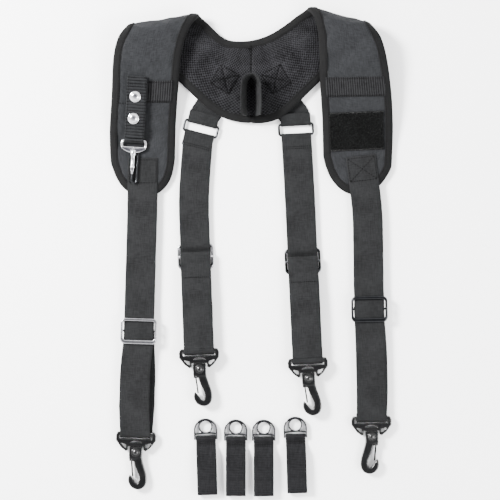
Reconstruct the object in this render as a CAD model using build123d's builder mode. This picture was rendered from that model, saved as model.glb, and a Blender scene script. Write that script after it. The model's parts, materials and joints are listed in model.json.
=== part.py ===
"""Padded tool-belt suspenders: a shoulder harness laid flat, with four adjustable straps.

Millimetres. +X is the wearer's left-to-right as the harness lies, +Y runs towards the neck fold,
+Z is up from the surface it lies on. The origin is under the middle of the whole harness.
"""
import os
from math import cos, radians, sin, tan

from build123d import *

os.makedirs("parts", exist_ok=True)

# ---------------------------------------------------------------- driving dimensions

WEB = 1.2  # webbing thickness
STRAP_W = 38.0  # main straps, 1.5 inch webbing
NARROW_W = 25.0  # key strap and belt loops, 1 inch webbing
GAP = 0.1  # between flat webbing layers that slide on each other

# Padding: lining, foam and outer face, with a binding tape sewn round every open edge.
LINING_T = 1.0
FACE_T = 1.0
PAD_T = 7.0
BINDING_W = 8.5
BINDING_LOW = 1.6
BINDING_HIGH = 5.6

# How a shoulder pad folds over the yoke, seen from its side.
YOKE_UNDERSIDE = 1.5
FOLD_R = 7.0  # inside radius of the fold
FOLD_SLOPE = 10.0  # degrees that the pad falls towards the surface
SETTLE_R = 100.0  # bend where the pad comes to lie flat

# Strap stack, as heights above the underside of the strap.
TAIL_Z = WEB + 2 * GAP
CENTRE_BAR_R = 1.45
CENTRE_BAR_Z = TAIL_Z + WEB + CENTRE_BAR_R + 0.05
UPPER_Z = 7.1
FRONT_Z = UPPER_Z + WEB + GAP
FRONT_TOP = FRONT_Z + WEB
SLIDER_Z = FRONT_TOP + 2 * GAP
SLIDER_TOP = SLIDER_Z + 3.0
HOOK_Z = FRONT_TOP / 2  # middle of the hook's bar
HOOK_BAR_R = HOOK_Z - WEB - 0.3
HOOK_T = 8.0

# Slider (tri-glide).
SLIDER_W = 46.0
SLIDER_L = 33.0
SLIDER_SIDE = 2.5
SLIDER_TOP_BAR = 4.5
SLIDER_LOW_BAR = 6.0

# Where the webbing layers of one strap start and end, from the hook's bar.
UPPER_START = 60.0
FRONT_END = 92.0
BACK_END = 98.0
TAIL_START = 40.0
TAIL_RETURN = 28.0  # how far the tail comes back below the slider's bar

# Rectangular wire rings between yoke and back straps.
RING_W = 46.0
RING_H = 17.0
WIRE_R = 1.5
RING_Z = 2.9
RUNNING = 0.1

# Belt loops.
LOOP_LENGTH = 97.0
LOOP_RISE = 10.0
LOOP_RING_W = 30.0
LOOP_HOLE_R = 7.1
LOOP_HOLE_DOWN = 10.3
LOOP_BAR_DOWN = 24.5
LOOP_PLATE_T = 4.0
LOOP_BAR_Z = 2.8

# Key strap on the left shoulder pad, as offsets from the pad's lining.
BAND_LOW = PAD_T + GAP
BAND_HIGH = BAND_LOW + 1.0
KEY_BACK = BAND_HIGH + GAP
KEY_WIRE_R = 1.5
KEY_TURN_R = KEY_WIRE_R + 0.15
KEY_BAR_Z = KEY_BACK + WEB + KEY_TURN_R
KEY_FLAP = KEY_BAR_Z + KEY_TURN_R
KEY_TOP = (-142.6, 221.4)  # free end of the key strap
KEY_BAR = (-147.7, 141.0)  # bar of the snap that hangs from it
KEY_TILT = -3.5
SNAPS = [(-145.7, 196.5), (-148.2, 169.5)]
SNAP_R = 7.0
SNAP_RIM, SNAP_HEIGHT = 0.8, 3.6
STUD_R = 4.0
BANDS = {  # corners of the elastic bands, beyond the panel's edges on both sides
    "left": [(-190, 188), (-80, 189), (-80, 216), (-190, 215)],
    "right": [(80, 195), (190, 198), (190, 221), (80, 219)],
}
PATCH = [(100.5, 127.5), (168.5, 130.5), (167.0, 178.5), (98.5, 176.0)]
PATCH_T = 1.6

# Loop for hanging the harness up, standing on its edge on the yoke.
HANG_HALF_W = 10.5
HANG_FOOT_Y = 172.0
HANG_TOP_Y = 222.0
HANG_T = 2.4

# Each strap: side, the hook bar's place, the strap's tilt, the slider's distance and its course upwards.
STRAPS = {
    "left_front": dict(bar=(-145.5, -230.6), tilt=-1.6, slider=131.0, flipped=False, hand=1),
    "right_front": dict(bar=(152.4, -210.8), tilt=1.2, slider=139.0, flipped=False, hand=-1),
    "left_back": dict(bar=(-65.9, -125.0), tilt=2.1, slider=119.6, flipped=True, hand=1),
    "right_back": dict(bar=(71.6, -136.8), tilt=2.7, slider=125.7, flipped=True, hand=1),
}
FRONT_TOPS = {  # where each front strap bends, and the top of its centreline
    "left_front": [(-137.4, 60.0), (-137.0, 119.5)],
    "right_front": [(147.7, 50.0), (138.7, 122.3)],
}
BACK_BENDS = {"left_back": (-73.0, 68.0), "right_back": (61.9, 70.0)}

# Rings: centre, tilt, and where the yoke's connector webbing leads to.
RINGS = {
    "left": dict(centre=(-63.5, 157.0), tilt=-14.0, inner=(-36.0, 206.6)),
    "right": dict(centre=(57.0, 156.0), tilt=3.0, inner=(29.5, 206.0)),
}

# Belt loops: middle of the top edge, and tilt.
BELT_LOOPS = [
    ((-58.1, -210.7), 1.8),
    ((-19.3, -212.0), 0.0),
    ((16.1, -212.2), 0.0),
    ((55.7, -208.4), 1.8),
]

# Outlines in plan. Each shoulder panel starts at its fold line's two ends.
PANELS = {
    "left": dict(
        outer=(-154.9, 287.4),
        inner=(-67.3, 301.4),
        inner_edge=[(-82.6, 272.2), (-92.7, 211.2), (-96.5, 162.9), (-97.8, 118.5)],
        toe=[(-105.5, 89.0), (-126.0, 72.5), (-158.0, 80.0)],
        outer_edge=[(-176.5, 113.4), (-177.8, 143.9), (-174.0, 203.6), (-165.1, 268.4)],
    ),
    "right": dict(
        outer=(149.6, 289.7),
        inner=(73.7, 310.1),
        inner_edge=[(81.8, 290.1), (87.9, 219.2), (90.8, 178.7), (92.8, 121.9)],
        toe=[(100.5, 98.0), (128.0, 74.5), (163.0, 86.5)],
        outer_edge=[(176.9, 107.8), (177.9, 132.1), (170.8, 233.3), (160.8, 269.7)],
    ),
}
NECKLINE = [(-49.5, 282.3), (-31.8, 268.4), (-17.1, 265.8), (25.0, 274.8), (43.2, 286.1)]
YOKE_LOWER = [
    (-91.9, 218.8),
    (-66.0, 193.9),
    (-35.6, 171.8),
    (-1.3, 164.7),
    (31.1, 168.5),
    (60.5, 191.9),
    (87.9, 219.2),
]
REACH = 30.0  # how far an outline runs past a fold, so that no binding crosses the fold
TRIM_LOW, TRIM_HIGH = -1.0, 60.0  # heights of the blocks that trim the pads, well clear of them
HALF_SPAN = 130.0  # half the width of a pad's sheet before it is trimmed

# ---------------------------------------------------------------- placing and outlines


def finish(name, piece):
    """Labels one finished piece and writes it."""
    piece.label = name
    export_step(piece, f"parts/{name}.step")


def direction(tilt):
    """The unit vector across a piece whose length is tilted by this angle from +Y."""
    return Vector(cos(radians(tilt)), sin(radians(tilt)), 0)


def flat_frame(place, tilt, height=0.0):
    """A frame with X across, Y along and Z up."""
    return Plane(origin=(place[0], place[1], height), x_dir=direction(tilt), z_dir=(0, 0, 1))


def flipped_frame(place, tilt):
    """The frame of a strap that lies on its face: X and Z are reversed."""
    return Plane(origin=(place[0], place[1], SLIDER_TOP), x_dir=-direction(tilt), z_dir=(0, 0, -1))


def side_plane(frame):
    """The plane of a strap's side view: its X runs along the strap and its Y up through it."""
    return Plane(origin=frame.origin, x_dir=frame.y_dir, z_dir=frame.x_dir)


def bar_plane(frame, along, height):
    """The plane through a bar's middle, square to the bar, with Z along the bar."""
    origin = frame.from_local_coords(Vector(0, along, height))
    return Plane(origin=origin, x_dir=frame.y_dir, z_dir=frame.x_dir)


def slab(frame, outline, low, high):
    """A flat plate with this outline, between two heights of the frame."""
    with BuildPart() as plate:
        with BuildSketch(frame.offset(low)):
            with BuildLine():
                Polyline(*outline, close=True)
            make_face()
        extrude(amount=high - low)
    return plate.part


def ribbon(points, width):
    """The outline of flat webbing along a centreline, square at its ends and mitred at its bends."""
    left, right = [], []
    for i, (x, y) in enumerate(points):
        before = Vector(*points[max(i - 1, 0)])
        here = Vector(x, y)
        after = Vector(*points[min(i + 1, len(points) - 1)])
        first = (here - before).normalized() if i > 0 else (after - here).normalized()
        second = (after - here).normalized() if i < len(points) - 1 else first
        along = (first + second).normalized()
        reach = width / 2 / along.dot(first)
        left.append((x - along.Y * reach, y + along.X * reach))
        right.append((x + along.Y * reach, y - along.X * reach))
    return left + right[::-1]


def hairpin(frame, width, bar, r_in, low_end, high_end, turn, high_drop=0.0, low_rise=0.0):
    """Webbing folded round a bar. The bar is (along, height); turn is -1 or 1, where the fold bulges.

    The two legs end at low_end and high_end along the frame. high_drop lowers the end of the upper
    leg and low_rise lifts the end of the lower one, where the two layers are sewn together.
    """
    along, height = bar
    r_out = r_in + WEB
    with BuildPart() as webbing:
        with BuildSketch(side_plane(frame)):
            with BuildLine():
                Line((low_end, height - r_out + low_rise), (along, height - r_out))
                ThreePointArc(
                    (along, height - r_out), (along + turn * r_out, height), (along, height + r_out)
                )
                Line((along, height + r_out), (high_end, height + r_out - high_drop))
                Line((high_end, height + r_out - high_drop), (high_end, height + r_in - high_drop))
                Line((high_end, height + r_in - high_drop), (along, height + r_in))
                ThreePointArc(
                    (along, height + r_in), (along + turn * r_in, height), (along, height - r_in)
                )
                Line((along, height - r_in), (low_end, height - r_in + low_rise))
                Line((low_end, height - r_in + low_rise), (low_end, height - r_out + low_rise))
            make_face()
        extrude(amount=width / 2, both=True)
    return webbing.part


def rod(frame, along, height, radius, length):
    """A round bar across the frame."""
    with BuildPart() as bar:
        with BuildSketch(bar_plane(frame, along, height)):
            Circle(radius)
        extrude(amount=length / 2, both=True)
    return bar.part


def joined(*pieces):
    """One piece from several that touch or overlap."""
    with BuildPart() as whole:
        for piece in pieces:
            add(piece)
    return whole.part


# ---------------------------------------------------------------- shoulder pads and yoke

FOLD_CENTRE_Z = YOKE_UNDERSIDE + PAD_T + FOLD_R
FOLD_V = PAD_T + FOLD_R  # distance of the fold's centre from its outermost line
SLOPE = radians(FOLD_SLOPE)
TOP_Z = FOLD_CENTRE_Z + FOLD_R * cos(SLOPE)
SLOPE_LENGTH = (TOP_Z - SETTLE_R * (1 - cos(SLOPE))) / sin(SLOPE)
LEVEL_V = FOLD_V + (FOLD_R + SETTLE_R) * sin(SLOPE) + SLOPE_LENGTH * cos(SLOPE)
YOKE_V = 190.0
PANEL_V = 260.0


def fold_line(side):
    """The fold's middle, its direction along +X, and the direction away from the neck."""
    panel = PANELS[side]
    start, end = sorted([Vector(*panel["outer"]), Vector(*panel["inner"])], key=lambda p: p.X)
    along = (end - start).normalized()
    return (start + end) * 0.5, along, Vector(along.Y, -along.X, 0)


def turn_point(offset, angle):
    """A point of the fold's round part in the side view, this far outwards from the lining."""
    turn_r = FOLD_R + offset
    return (FOLD_V + turn_r * cos(radians(angle)), FOLD_CENTRE_Z + turn_r * sin(radians(angle)))


def settle_point(offset, angle):
    """A point of the bend where the panel comes to lie flat; the angle is what is left of the slope."""
    settle_r = SETTLE_R - offset
    return (LEVEL_V - settle_r * sin(radians(angle)), SETTLE_R - settle_r * cos(radians(angle)))


def side_view_block(side, draw, inner, outer):
    """A sheet whose side view runs out along one offset from the lining and back along another."""
    middle, along, away = fold_line(side)
    with BuildPart() as sheet:
        with BuildSketch(Plane(origin=middle, x_dir=away, z_dir=-along)):
            with BuildLine():
                first = draw(inner)
                second = draw(outer)
                Line(first[0], second[0])
                Line(first[1], second[1])
            make_face()
        extrude(amount=HALF_SPAN, both=True)
    return sheet.part


def draw_yoke_line(offset):
    """The yoke's line at one offset, with the lower half of the fold. Gives its two ends."""
    start, bottom = turn_point(offset, 180), turn_point(offset, 270)
    end = (YOKE_V, bottom[1])
    ThreePointArc(start, turn_point(offset, 225), bottom)
    Line(bottom, end)
    return start, end


def draw_panel_line(offset):
    """The shoulder panel's line at one offset, with the upper half of the fold. Gives its two ends."""
    start, top = turn_point(offset, 180), turn_point(offset, 90 - FOLD_SLOPE)
    level = settle_point(offset, 0)
    end = (PANEL_V, level[1])
    ThreePointArc(start, turn_point(offset, 135 - FOLD_SLOPE / 2), top)
    Line(top, settle_point(offset, FOLD_SLOPE))
    ThreePointArc(settle_point(offset, FOLD_SLOPE), settle_point(offset, FOLD_SLOPE / 2), level)
    Line(level, end)
    return start, end


def inset_outline(points, amount):
    """The corners of a closed outline, each moved inwards so that its sides move by this amount."""
    count = len(points)
    area = sum(
        points[i][0] * points[(i + 1) % count][1] - points[(i + 1) % count][0] * points[i][1]
        for i in range(count)
    )
    inwards = 1 if area > 0 else -1
    moved = []
    for i, (x, y) in enumerate(points):
        here = Vector(x, y)
        first = (here - Vector(*points[i - 1])).normalized()
        second = (Vector(*points[(i + 1) % count]) - here).normalized()
        along = (first + second).normalized()
        reach = amount / along.dot(first) * inwards
        moved.append((x - along.Y * reach, y + along.X * reach))
    return moved


def prism(edges, low, high, inset=0.0):
    """A plan outline, given as lists of points that are straight runs or curves, raised to a block."""
    points = [point for _, run in edges for point in run]
    moved = inset_outline(points[:-1], inset)
    moved.append(moved[0])
    with BuildPart() as block:
        with BuildSketch(Plane.XY.offset(low)):
            with BuildLine():
                done = 0
                for kind, run in edges:
                    stretch = moved[max(done - 1, 0) : done + len(run)]
                    done += len(run)
                    if kind == "curve":
                        Spline(*stretch)
                    else:
                        Polyline(*stretch)
            make_face()
        extrude(amount=high - low)
    return block.part


def past_fold(side, corner):
    """The point beyond the fold line, above one of its two ends."""
    away = fold_line(side)[2]
    point = Vector(*PANELS[side][corner]) - away * REACH
    return (point.X, point.Y)


def panel_edges(side):
    """The shoulder panel's outline, from the neck end of its fold round its toe to the other end."""
    panel = PANELS[side]
    start = past_fold(side, "inner")
    return [
        ("straight", [start, panel["inner"]]),
        ("curve", panel["inner_edge"]),
        ("curve", panel["toe"] + [panel["outer_edge"][0]]),
        ("curve", panel["outer_edge"][1:] + [panel["outer"]]),
        ("straight", [past_fold(side, "outer"), start]),
    ]


def yoke_edges():
    """The yoke's outline, both halves, running past the two folds."""
    left, right = PANELS["left"], PANELS["right"]
    start = past_fold("left", "inner")
    return [
        ("straight", [start, left["inner"]]),
        ("curve", NECKLINE + [right["inner"]]),
        ("straight", [past_fold("right", "inner"), past_fold("right", "outer"), right["outer"]]),
        ("straight", [YOKE_LOWER[-1]]),
        ("curve", YOKE_LOWER[-2::-1]),
        ("straight", [left["outer"], past_fold("left", "outer"), start]),
    ]


def outside(edges, inset):
    """A block with this outline, tall enough to trim a pad."""
    return prism(edges, TRIM_LOW, TRIM_HIGH, inset)


def plan_block(outline):
    """A tall block over a plan outline, to trim layers with."""
    return slab(Plane.XY, outline, TRIM_LOW, TRIM_HIGH)


def pad_layer(side, inner, outer, inset=0.0, hollow=None):
    """One layer of a shoulder pad. With hollow, only the ring between the two insets is kept."""
    sign = -1 if side == "left" else 1
    far = sign * 2 * HALF_SPAN
    half = plan_block([(0, 0), (far, 0), (far, PANEL_V * 2), (0, PANEL_V * 2)])
    with BuildPart() as under:
        add(side_view_block(side, draw_yoke_line, inner, outer))
        add(half, mode=Mode.INTERSECT)
        add(outside(yoke_edges(), inset), mode=Mode.INTERSECT)
        if hollow:
            add(outside(yoke_edges(), hollow), mode=Mode.SUBTRACT)
    return joined(under.part, panel_piece(side, inner, outer, inset, hollow))


def panel_piece(side, inner, outer, inset=0.0, hollow=None, trim=None):
    """One layer of the shoulder panel alone, inside its outline and, if given, inside a trim block."""
    with BuildPart() as over:
        add(side_view_block(side, draw_panel_line, inner, outer))
        add(outside(panel_edges(side), inset), mode=Mode.INTERSECT)
        if hollow:
            add(outside(panel_edges(side), hollow), mode=Mode.SUBTRACT)
        if trim:
            add(trim, mode=Mode.INTERSECT)
    return over.part


for side in PANELS:
    finish(f"{side}_pad_lining", pad_layer(side, 0, LINING_T, BINDING_W))
    finish(f"{side}_pad_foam", pad_layer(side, LINING_T, PAD_T - FACE_T, BINDING_W))
    finish(f"{side}_pad_face", pad_layer(side, PAD_T - FACE_T, PAD_T, BINDING_W))
    finish(f"{side}_pad_binding", pad_layer(side, BINDING_LOW, BINDING_HIGH, 0, BINDING_W))

# ---------------------------------------------------------------- pieces on the pads


def pad_plane(side, place):
    """The plane of the panel's lining on its sloping part, under a place in plan."""
    middle, along, away = fold_line(side)
    out = (Vector(*place) - middle).dot(away)
    slope_v = FOLD_V + FOLD_R * sin(SLOPE)
    height = TOP_Z - (out - slope_v) * tan(SLOPE)
    up = away * sin(SLOPE) + Vector(0, 0, cos(SLOPE))
    return Plane(origin=(place[0], place[1], height), x_dir=along, z_dir=up)


def dome(plane, low):
    """A domed snap cap whose flat underside is at this height over the plane."""
    with BuildPart() as cap:
        with BuildSketch(Plane(origin=plane.origin, x_dir=plane.x_dir, z_dir=-plane.y_dir)):
            with BuildLine():
                top, rim = (0, low + SNAP_HEIGHT), (SNAP_R, low + SNAP_RIM)
                Polyline(top, (0, low), (SNAP_R, low), rim)
                Spline(rim, top, tangents=[(-0.15, 1), (-1, 0)])
            make_face()
        revolve(axis=Axis(plane.origin, plane.z_dir))
    return cap.part


for side in PANELS:
    band = panel_piece(side, BAND_LOW, BAND_HIGH, 1.0, trim=plan_block(BANDS[side]))
    finish(f"{side}_utility_band", band)
finish("loop_patch", panel_piece("right", BAND_LOW, BAND_LOW + PATCH_T, trim=plan_block(PATCH)))

with BuildPart() as hang_loop:
    with BuildSketch(Plane.XY.offset(YOKE_UNDERSIDE + PAD_T + GAP)):
        for reach, mode in ((HANG_HALF_W, Mode.ADD), (HANG_HALF_W - HANG_T, Mode.SUBTRACT)):
            shoulder = HANG_TOP_Y - HANG_HALF_W
            with Locations((0, shoulder)):
                Circle(reach, mode=mode)
            with Locations((0, (shoulder + HANG_FOOT_Y) / 2)):
                Rectangle(2 * reach, shoulder - HANG_FOOT_Y, mode=mode)
    extrude(amount=NARROW_W)
finish("hang_loop", hang_loop.part)

key_frame = flat_frame(KEY_BAR, KEY_TILT)
key_low = key_frame.from_local_coords(Vector(0, 2, 0))
key_back_outline = ribbon([(key_low.X, key_low.Y), KEY_TOP], NARROW_W)
key_fold = hairpin(key_frame, NARROW_W, (0, KEY_BAR_Z), KEY_TURN_R, 4, 1.5, -1)
key_back = panel_piece("left", KEY_BACK, KEY_BACK + WEB, trim=plan_block(key_back_outline))
finish("key_strap_back", joined(key_back, key_fold))
flap_low = key_frame.from_local_coords(Vector(0, 3.4, 0))
flap_outline = ribbon([(flap_low.X, flap_low.Y), KEY_TOP], NARROW_W)
finish("key_strap_flap", panel_piece("left", KEY_FLAP, KEY_FLAP + WEB, trim=plan_block(flap_outline)))

caps = [dome(pad_plane("left", place), KEY_FLAP + WEB) for place in SNAPS]
finish("snap_caps", Part() + caps)
with BuildPart() as snap_studs:
    for place in SNAPS:
        with BuildSketch(pad_plane("left", place).offset(KEY_BACK + WEB)):
            Circle(STUD_R)
        extrude(amount=KEY_FLAP - KEY_BACK - WEB - GAP)
finish("snap_studs", snap_studs.part)

# ---------------------------------------------------------------- key snap


def wire_ring(frame, height, half_width, low, high, radius, bend):
    """A closed rectangular ring of round wire, with its corners bent to a radius."""
    corners = [(half_width, low), (half_width, high), (-half_width, high), (-half_width, low)]
    with BuildPart() as ring:
        with BuildLine(frame.offset(height)) as path:
            FilletPolyline(*corners, radius=bend, close=True)
        with BuildSketch(Plane(origin=path.wire() @ 0, z_dir=path.wire() % 0)):
            Circle(radius)
        sweep()
    return ring.part


def post(frame, height, from_y, to_y, radius):
    """A round pin along the frame's length."""
    start = frame.from_local_coords(Vector(0, from_y, height))
    with BuildPart() as pin:
        with BuildSketch(Plane(origin=start, x_dir=frame.x_dir, z_dir=-frame.y_dir)):
            Circle(radius)
        extrude(amount=from_y - to_y)
    return pin.part


def box(frame, x_range, y_range, z_range):
    """A block given by its limits in the frame."""
    (x0, x1), (y0, y1) = x_range, y_range
    return slab(frame, [(x0, y0), (x1, y0), (x1, y1), (x0, y1)], *z_range)


EYE_HALF_W = 15.0
EYE_LOW = -9.0
BARREL_R = 2.4
BASE_R = 3.4
BASE_TOP, BASE_LOW, BARREL_LOW = -11.0, -19.0, -29.0
SPINE_X = 6.0
SPINE_R = 1.3
SPINE_LOW = -50.0
NOSE_Y = -42.5
BOLT_R = 1.3
KNOB_TOP, KNOB_LOW = -34.0, -38.5

eye = wire_ring(key_frame, KEY_BAR_Z, EYE_HALF_W, EYE_LOW, 0, KEY_WIRE_R, 3.0)
eye_post = post(key_frame, KEY_BAR_Z, EYE_LOW, BASE_TOP - 4.5, 1.5)
eye_head = post(key_frame, KEY_BAR_Z, BASE_TOP - 3.3, BASE_TOP - 6.0, 2.2)
finish("key_snap_frame", joined(eye, eye_post, eye_head))

with BuildPart() as key_snap_hook:
    add(post(key_frame, KEY_BAR_Z, BASE_TOP, BASE_LOW, BASE_R))
    add(post(key_frame, KEY_BAR_Z, BASE_LOW, BARREL_LOW, BARREL_R))
    add(box(key_frame, (0, SPINE_X), (-18, -13.5), (KEY_BAR_Z - 1.3, KEY_BAR_Z + 1.3)))
    with BuildLine(key_frame.offset(KEY_BAR_Z)) as course:
        Line((SPINE_X, -13.5), (SPINE_X, SPINE_LOW))
        ThreePointArc(
            (SPINE_X, SPINE_LOW), (SPINE_X / 2, SPINE_LOW - SPINE_X / 2), (0, SPINE_LOW)
        )
        Line((0, SPINE_LOW), (0, NOSE_Y))
    with BuildSketch(Plane(origin=course.wire() @ 0, z_dir=course.wire() % 0)):
        Circle(SPINE_R)
    sweep()
    add(post(key_frame, KEY_BAR_Z, BASE_TOP, BASE_TOP - 3, 1.6), mode=Mode.SUBTRACT)
    add(post(key_frame, KEY_BAR_Z, BASE_TOP - 3, BASE_TOP - 6.4, 2.35), mode=Mode.SUBTRACT)
    add(post(key_frame, KEY_BAR_Z, BASE_LOW - 1, BARREL_LOW, BOLT_R + RUNNING), mode=Mode.SUBTRACT)
finish("key_snap_hook", key_snap_hook.part)

bolt_rod = post(key_frame, KEY_BAR_Z, BARREL_LOW + 4, NOSE_Y + 0.3, BOLT_R)
bolt_knob = post(key_frame, KEY_BAR_Z, KNOB_TOP, KNOB_LOW, BARREL_R - 0.1)
bolt_thumb = box(
    key_frame, (-1.2, 1.2), (KNOB_LOW + 0.6, KNOB_TOP - 0.6), (KEY_BAR_Z, KEY_BAR_Z + 4.0)
)
finish("key_snap_bolt", joined(bolt_rod, bolt_knob, bolt_thumb))

# ---------------------------------------------------------------- rings and yoke connectors

RING_REACH = RING_H / 2 - WIRE_R  # from the ring's centre to the middle of each bar
RING_TURN_R = WIRE_R + RUNNING
HEM = 18.0  # length of the sewn fold at a back strap's top
CONNECTOR_FOLD = 12.0
CONNECTOR_FRAMES = {}

for side, ring in RINGS.items():
    frame = flat_frame(ring["centre"], ring["tilt"])
    wire = wire_ring(frame, RING_Z, RING_W / 2 - WIRE_R, -RING_REACH, RING_REACH, WIRE_R, 3.0)
    finish(f"{side}_back_ring", wire)

    fold = hairpin(
        frame,
        STRAP_W,
        (RING_REACH, RING_Z),
        RING_TURN_R,
        RING_REACH + 4,
        RING_REACH + CONNECTOR_FOLD,
        -1,
        high_drop=RING_TURN_R * 2 + WEB - 0.1,
    )
    near = frame.from_local_coords(Vector(0, RING_REACH + 2, 0))
    under_yoke = ribbon([(near.X, near.Y), ring["inner"]], STRAP_W)
    low = RING_Z - RING_TURN_R - WEB
    finish(f"{side}_back_connector", joined(fold, slab(Plane.XY, under_yoke, low, low + WEB)))

# ---------------------------------------------------------------- straps


def slider_part(frame, along):
    """A flat tri-glide: two bars over the webbing and one that carries the strap's tail."""
    half_w, half_l = SLIDER_W / 2, SLIDER_L / 2
    inner = half_w - SLIDER_SIDE
    with BuildPart() as slider:
        with BuildSketch(frame.offset(SLIDER_Z)):
            with Locations((0, along)):
                RectangleRounded(SLIDER_W, SLIDER_L, 3.0)
            middle = along + (SLIDER_LOW_BAR - SLIDER_TOP_BAR) / 2
            with Locations((0, middle)):
                opening = SLIDER_L - SLIDER_LOW_BAR - SLIDER_TOP_BAR
                RectangleRounded(2 * inner, opening, 1.5, mode=Mode.SUBTRACT)
        extrude(amount=SLIDER_TOP - SLIDER_Z)
        for sign in (-1, 1):
            with BuildSketch(frame.offset(CENTRE_BAR_Z - CENTRE_BAR_R)):
                with Locations((sign * (half_w - SLIDER_SIDE / 2), along)):
                    Rectangle(SLIDER_SIDE, 2 * CENTRE_BAR_R + 3)
            extrude(amount=SLIDER_Z - CENTRE_BAR_Z + CENTRE_BAR_R)
        add(rod(frame, along, CENTRE_BAR_Z, CENTRE_BAR_R, SLIDER_W - 1))
    return slider.part


def upper_part(name, frame):
    """The strap's upper webbing, from inside the loop webbing's overlap to the pad or the ring."""
    start = frame.from_local_coords(Vector(0, UPPER_START, 0))
    if name in FRONT_TOPS:
        course = [(start.X, start.Y)] + FRONT_TOPS[name]
        return slab(Plane.XY, ribbon(course, STRAP_W), UPPER_Z, UPPER_Z + WEB)
    ring = RINGS[name.split("_")[0]]
    ring_frame = flat_frame(ring["centre"], ring["tilt"])
    top = ring_frame.from_local_coords(Vector(0, -RING_REACH - 8, 0))
    low = SLIDER_TOP - UPPER_Z - WEB
    course = [(start.X, start.Y), BACK_BENDS[name], (top.X, top.Y)]
    hem = hairpin(
        ring_frame,
        STRAP_W,
        (-RING_REACH, RING_Z),
        RING_TURN_R,
        -RING_REACH - HEM,
        -RING_REACH - 10,
        1,
        low_rise=RING_TURN_R * 2 + WEB - 0.1,
    )
    return joined(slab(Plane.XY, ribbon(course, STRAP_W), low, low + WEB), hem)


# Swivel base of a strap's hook: its outline on one side, from the arm's end to beside the collar.
BASE_ARM_IN = 20.4
BASE_SIDE = [
    (BASE_ARM_IN, 3.2),
    (23.6, 2.6),
    (25.4, -1.5),
    (25.2, -7.7),
    (18.6, -16.6),
    (12.6, -21.2),
    (9.9, -19.6),
    (9.7, -15.2),
]
BASE_SLOT_LOW = -5.7
COLLAR_TOP, COLLAR_LOW = -15.5, -29.0
COLLAR_HALF_W = 8.2
POST_R = 2.9
POST_HEAD_R = 4.1
WINDOW = (-25.2, -19.6)
GATE_PIVOT = (-5.2, -31.4)
GATE_TIP = (-2.9, -53.0)
GATE_HALF_Z = 2.5
GATE_PIN_R = 0.9


def hook_frame_part(frame, hand):
    """The swivel base: a bar for the webbing, two arms, a pierced web and the swivel post."""
    side = [(x * hand, y) for x, y in BASE_SIDE]
    outline = side + [(-x, y) for x, y in reversed(side)]
    half = HOOK_T / 2 - 0.6
    with BuildPart() as base:
        with BuildSketch(frame.offset(-half)):
            with BuildLine():
                Polyline(*outline, close=True)
            make_face()
            with Locations((0, BASE_SLOT_LOW + 10)):
                Rectangle(2 * BASE_ARM_IN, 20, mode=Mode.SUBTRACT)
            with BuildLine():
                ThreePointArc((-8.4, -11.0), (0, -7.6), (8.4, -11.0))
                ThreePointArc((8.4, -11.0), (0, -10.1), (-8.4, -11.0))
            make_face(mode=Mode.SUBTRACT)
            for sign in (-1, 1):
                with BuildLine():
                    Polyline(
                        (sign * 19.8, -10.6),
                        (sign * 12.4, -12.6),
                        (sign * 12.0, -16.8),
                        (sign * 14.6, -16.6),
                        close=True,
                    )
                make_face(mode=Mode.SUBTRACT)
        extrude(amount=2 * half)
        rim = base.faces().sort_by(Axis.Z)
        fillet(rim[0].outer_wire().edges() + rim[-1].outer_wire().edges(), radius=0.8)
        add(rod(frame, 0, 0, HOOK_BAR_R, 2 * BASE_ARM_IN + 4))
        add(post(frame, 0, -13, WINDOW[1] - 0.5, POST_R))
        add(post(frame, 0, WINDOW[1] - 0.4, WINDOW[0] + 0.4, POST_HEAD_R))
    return base.part


def snap_hook_part(frame, hand):
    """The hook: a swivelling collar, a thick spine that curls into the mouth, and the gate's fork."""
    half = HOOK_T / 2
    gate_x, gate_y = GATE_PIVOT
    with BuildPart() as hook:
        with BuildSketch(frame.offset(-half)):
            with BuildLine():
                Spline(
                    (hand * 8.4, -30),
                    (hand * 10.9, -40),
                    (hand * 14.8, -56.5),
                    (hand * 12.2, -65.8),
                    (hand * 3.5, -69.6),
                    (hand * -6.1, -64.3),
                    (hand * -8.4, -57),
                    (hand * -6.9, -51.2),
                )
                Polyline((hand * -6.9, -51.2), (hand * -4.2, -53.8))
                Spline(
                    (hand * -4.2, -53.8),
                    (hand * -1.2, -58.3),
                    (hand * 2.9, -61.9),
                    (hand * 5.2, -58.5),
                    (hand * 3.7, -48.5),
                    (hand * -0.8, -36.8),
                )
                Polyline(
                    (hand * -0.8, -36.8),
                    (hand * -1.6, -33.8),
                    (hand * -7.6, -33.8),
                    (hand * -8.2, -30),
                    (hand * 8.4, -30),
                )
            make_face()
        extrude(amount=HOOK_T)
        outer = hook.faces().sort_by(Axis.Z)
        fillet(outer[0].edges() + outer[-1].edges(), radius=1.3)
        with BuildSketch(frame.offset(-half - 0.3)):
            with Locations((0, (COLLAR_TOP + COLLAR_LOW - 2) / 2)):
                RectangleRounded(2 * COLLAR_HALF_W, COLLAR_TOP - COLLAR_LOW + 2, 1.5)
        extrude(amount=HOOK_T + 0.6)
        with BuildSketch(frame.offset(-half - 1)):
            with Locations((0, sum(WINDOW) / 2)):
                Rectangle(2 * POST_HEAD_R + 0.8, WINDOW[1] - WINDOW[0])
        extrude(amount=HOOK_T + 2, mode=Mode.SUBTRACT)
        add(post(frame, 0, COLLAR_TOP + 1, WINDOW[0] + 1, POST_R + RUNNING), mode=Mode.SUBTRACT)
        with BuildSketch(frame.offset(-GATE_HALF_Z - 0.1)):
            with Locations((hand * (gate_x - 0.6), gate_y - 0.2)):
                Rectangle(6.6, 4.4)
        extrude(amount=2 * GATE_HALF_Z + 0.2, mode=Mode.SUBTRACT)
        with BuildSketch(frame.offset(-half - 1)):
            with Locations((hand * gate_x, gate_y)):
                Circle(GATE_PIN_R + 0.05)
        extrude(amount=HOOK_T + 2, mode=Mode.SUBTRACT)
    return hook.part


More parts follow.
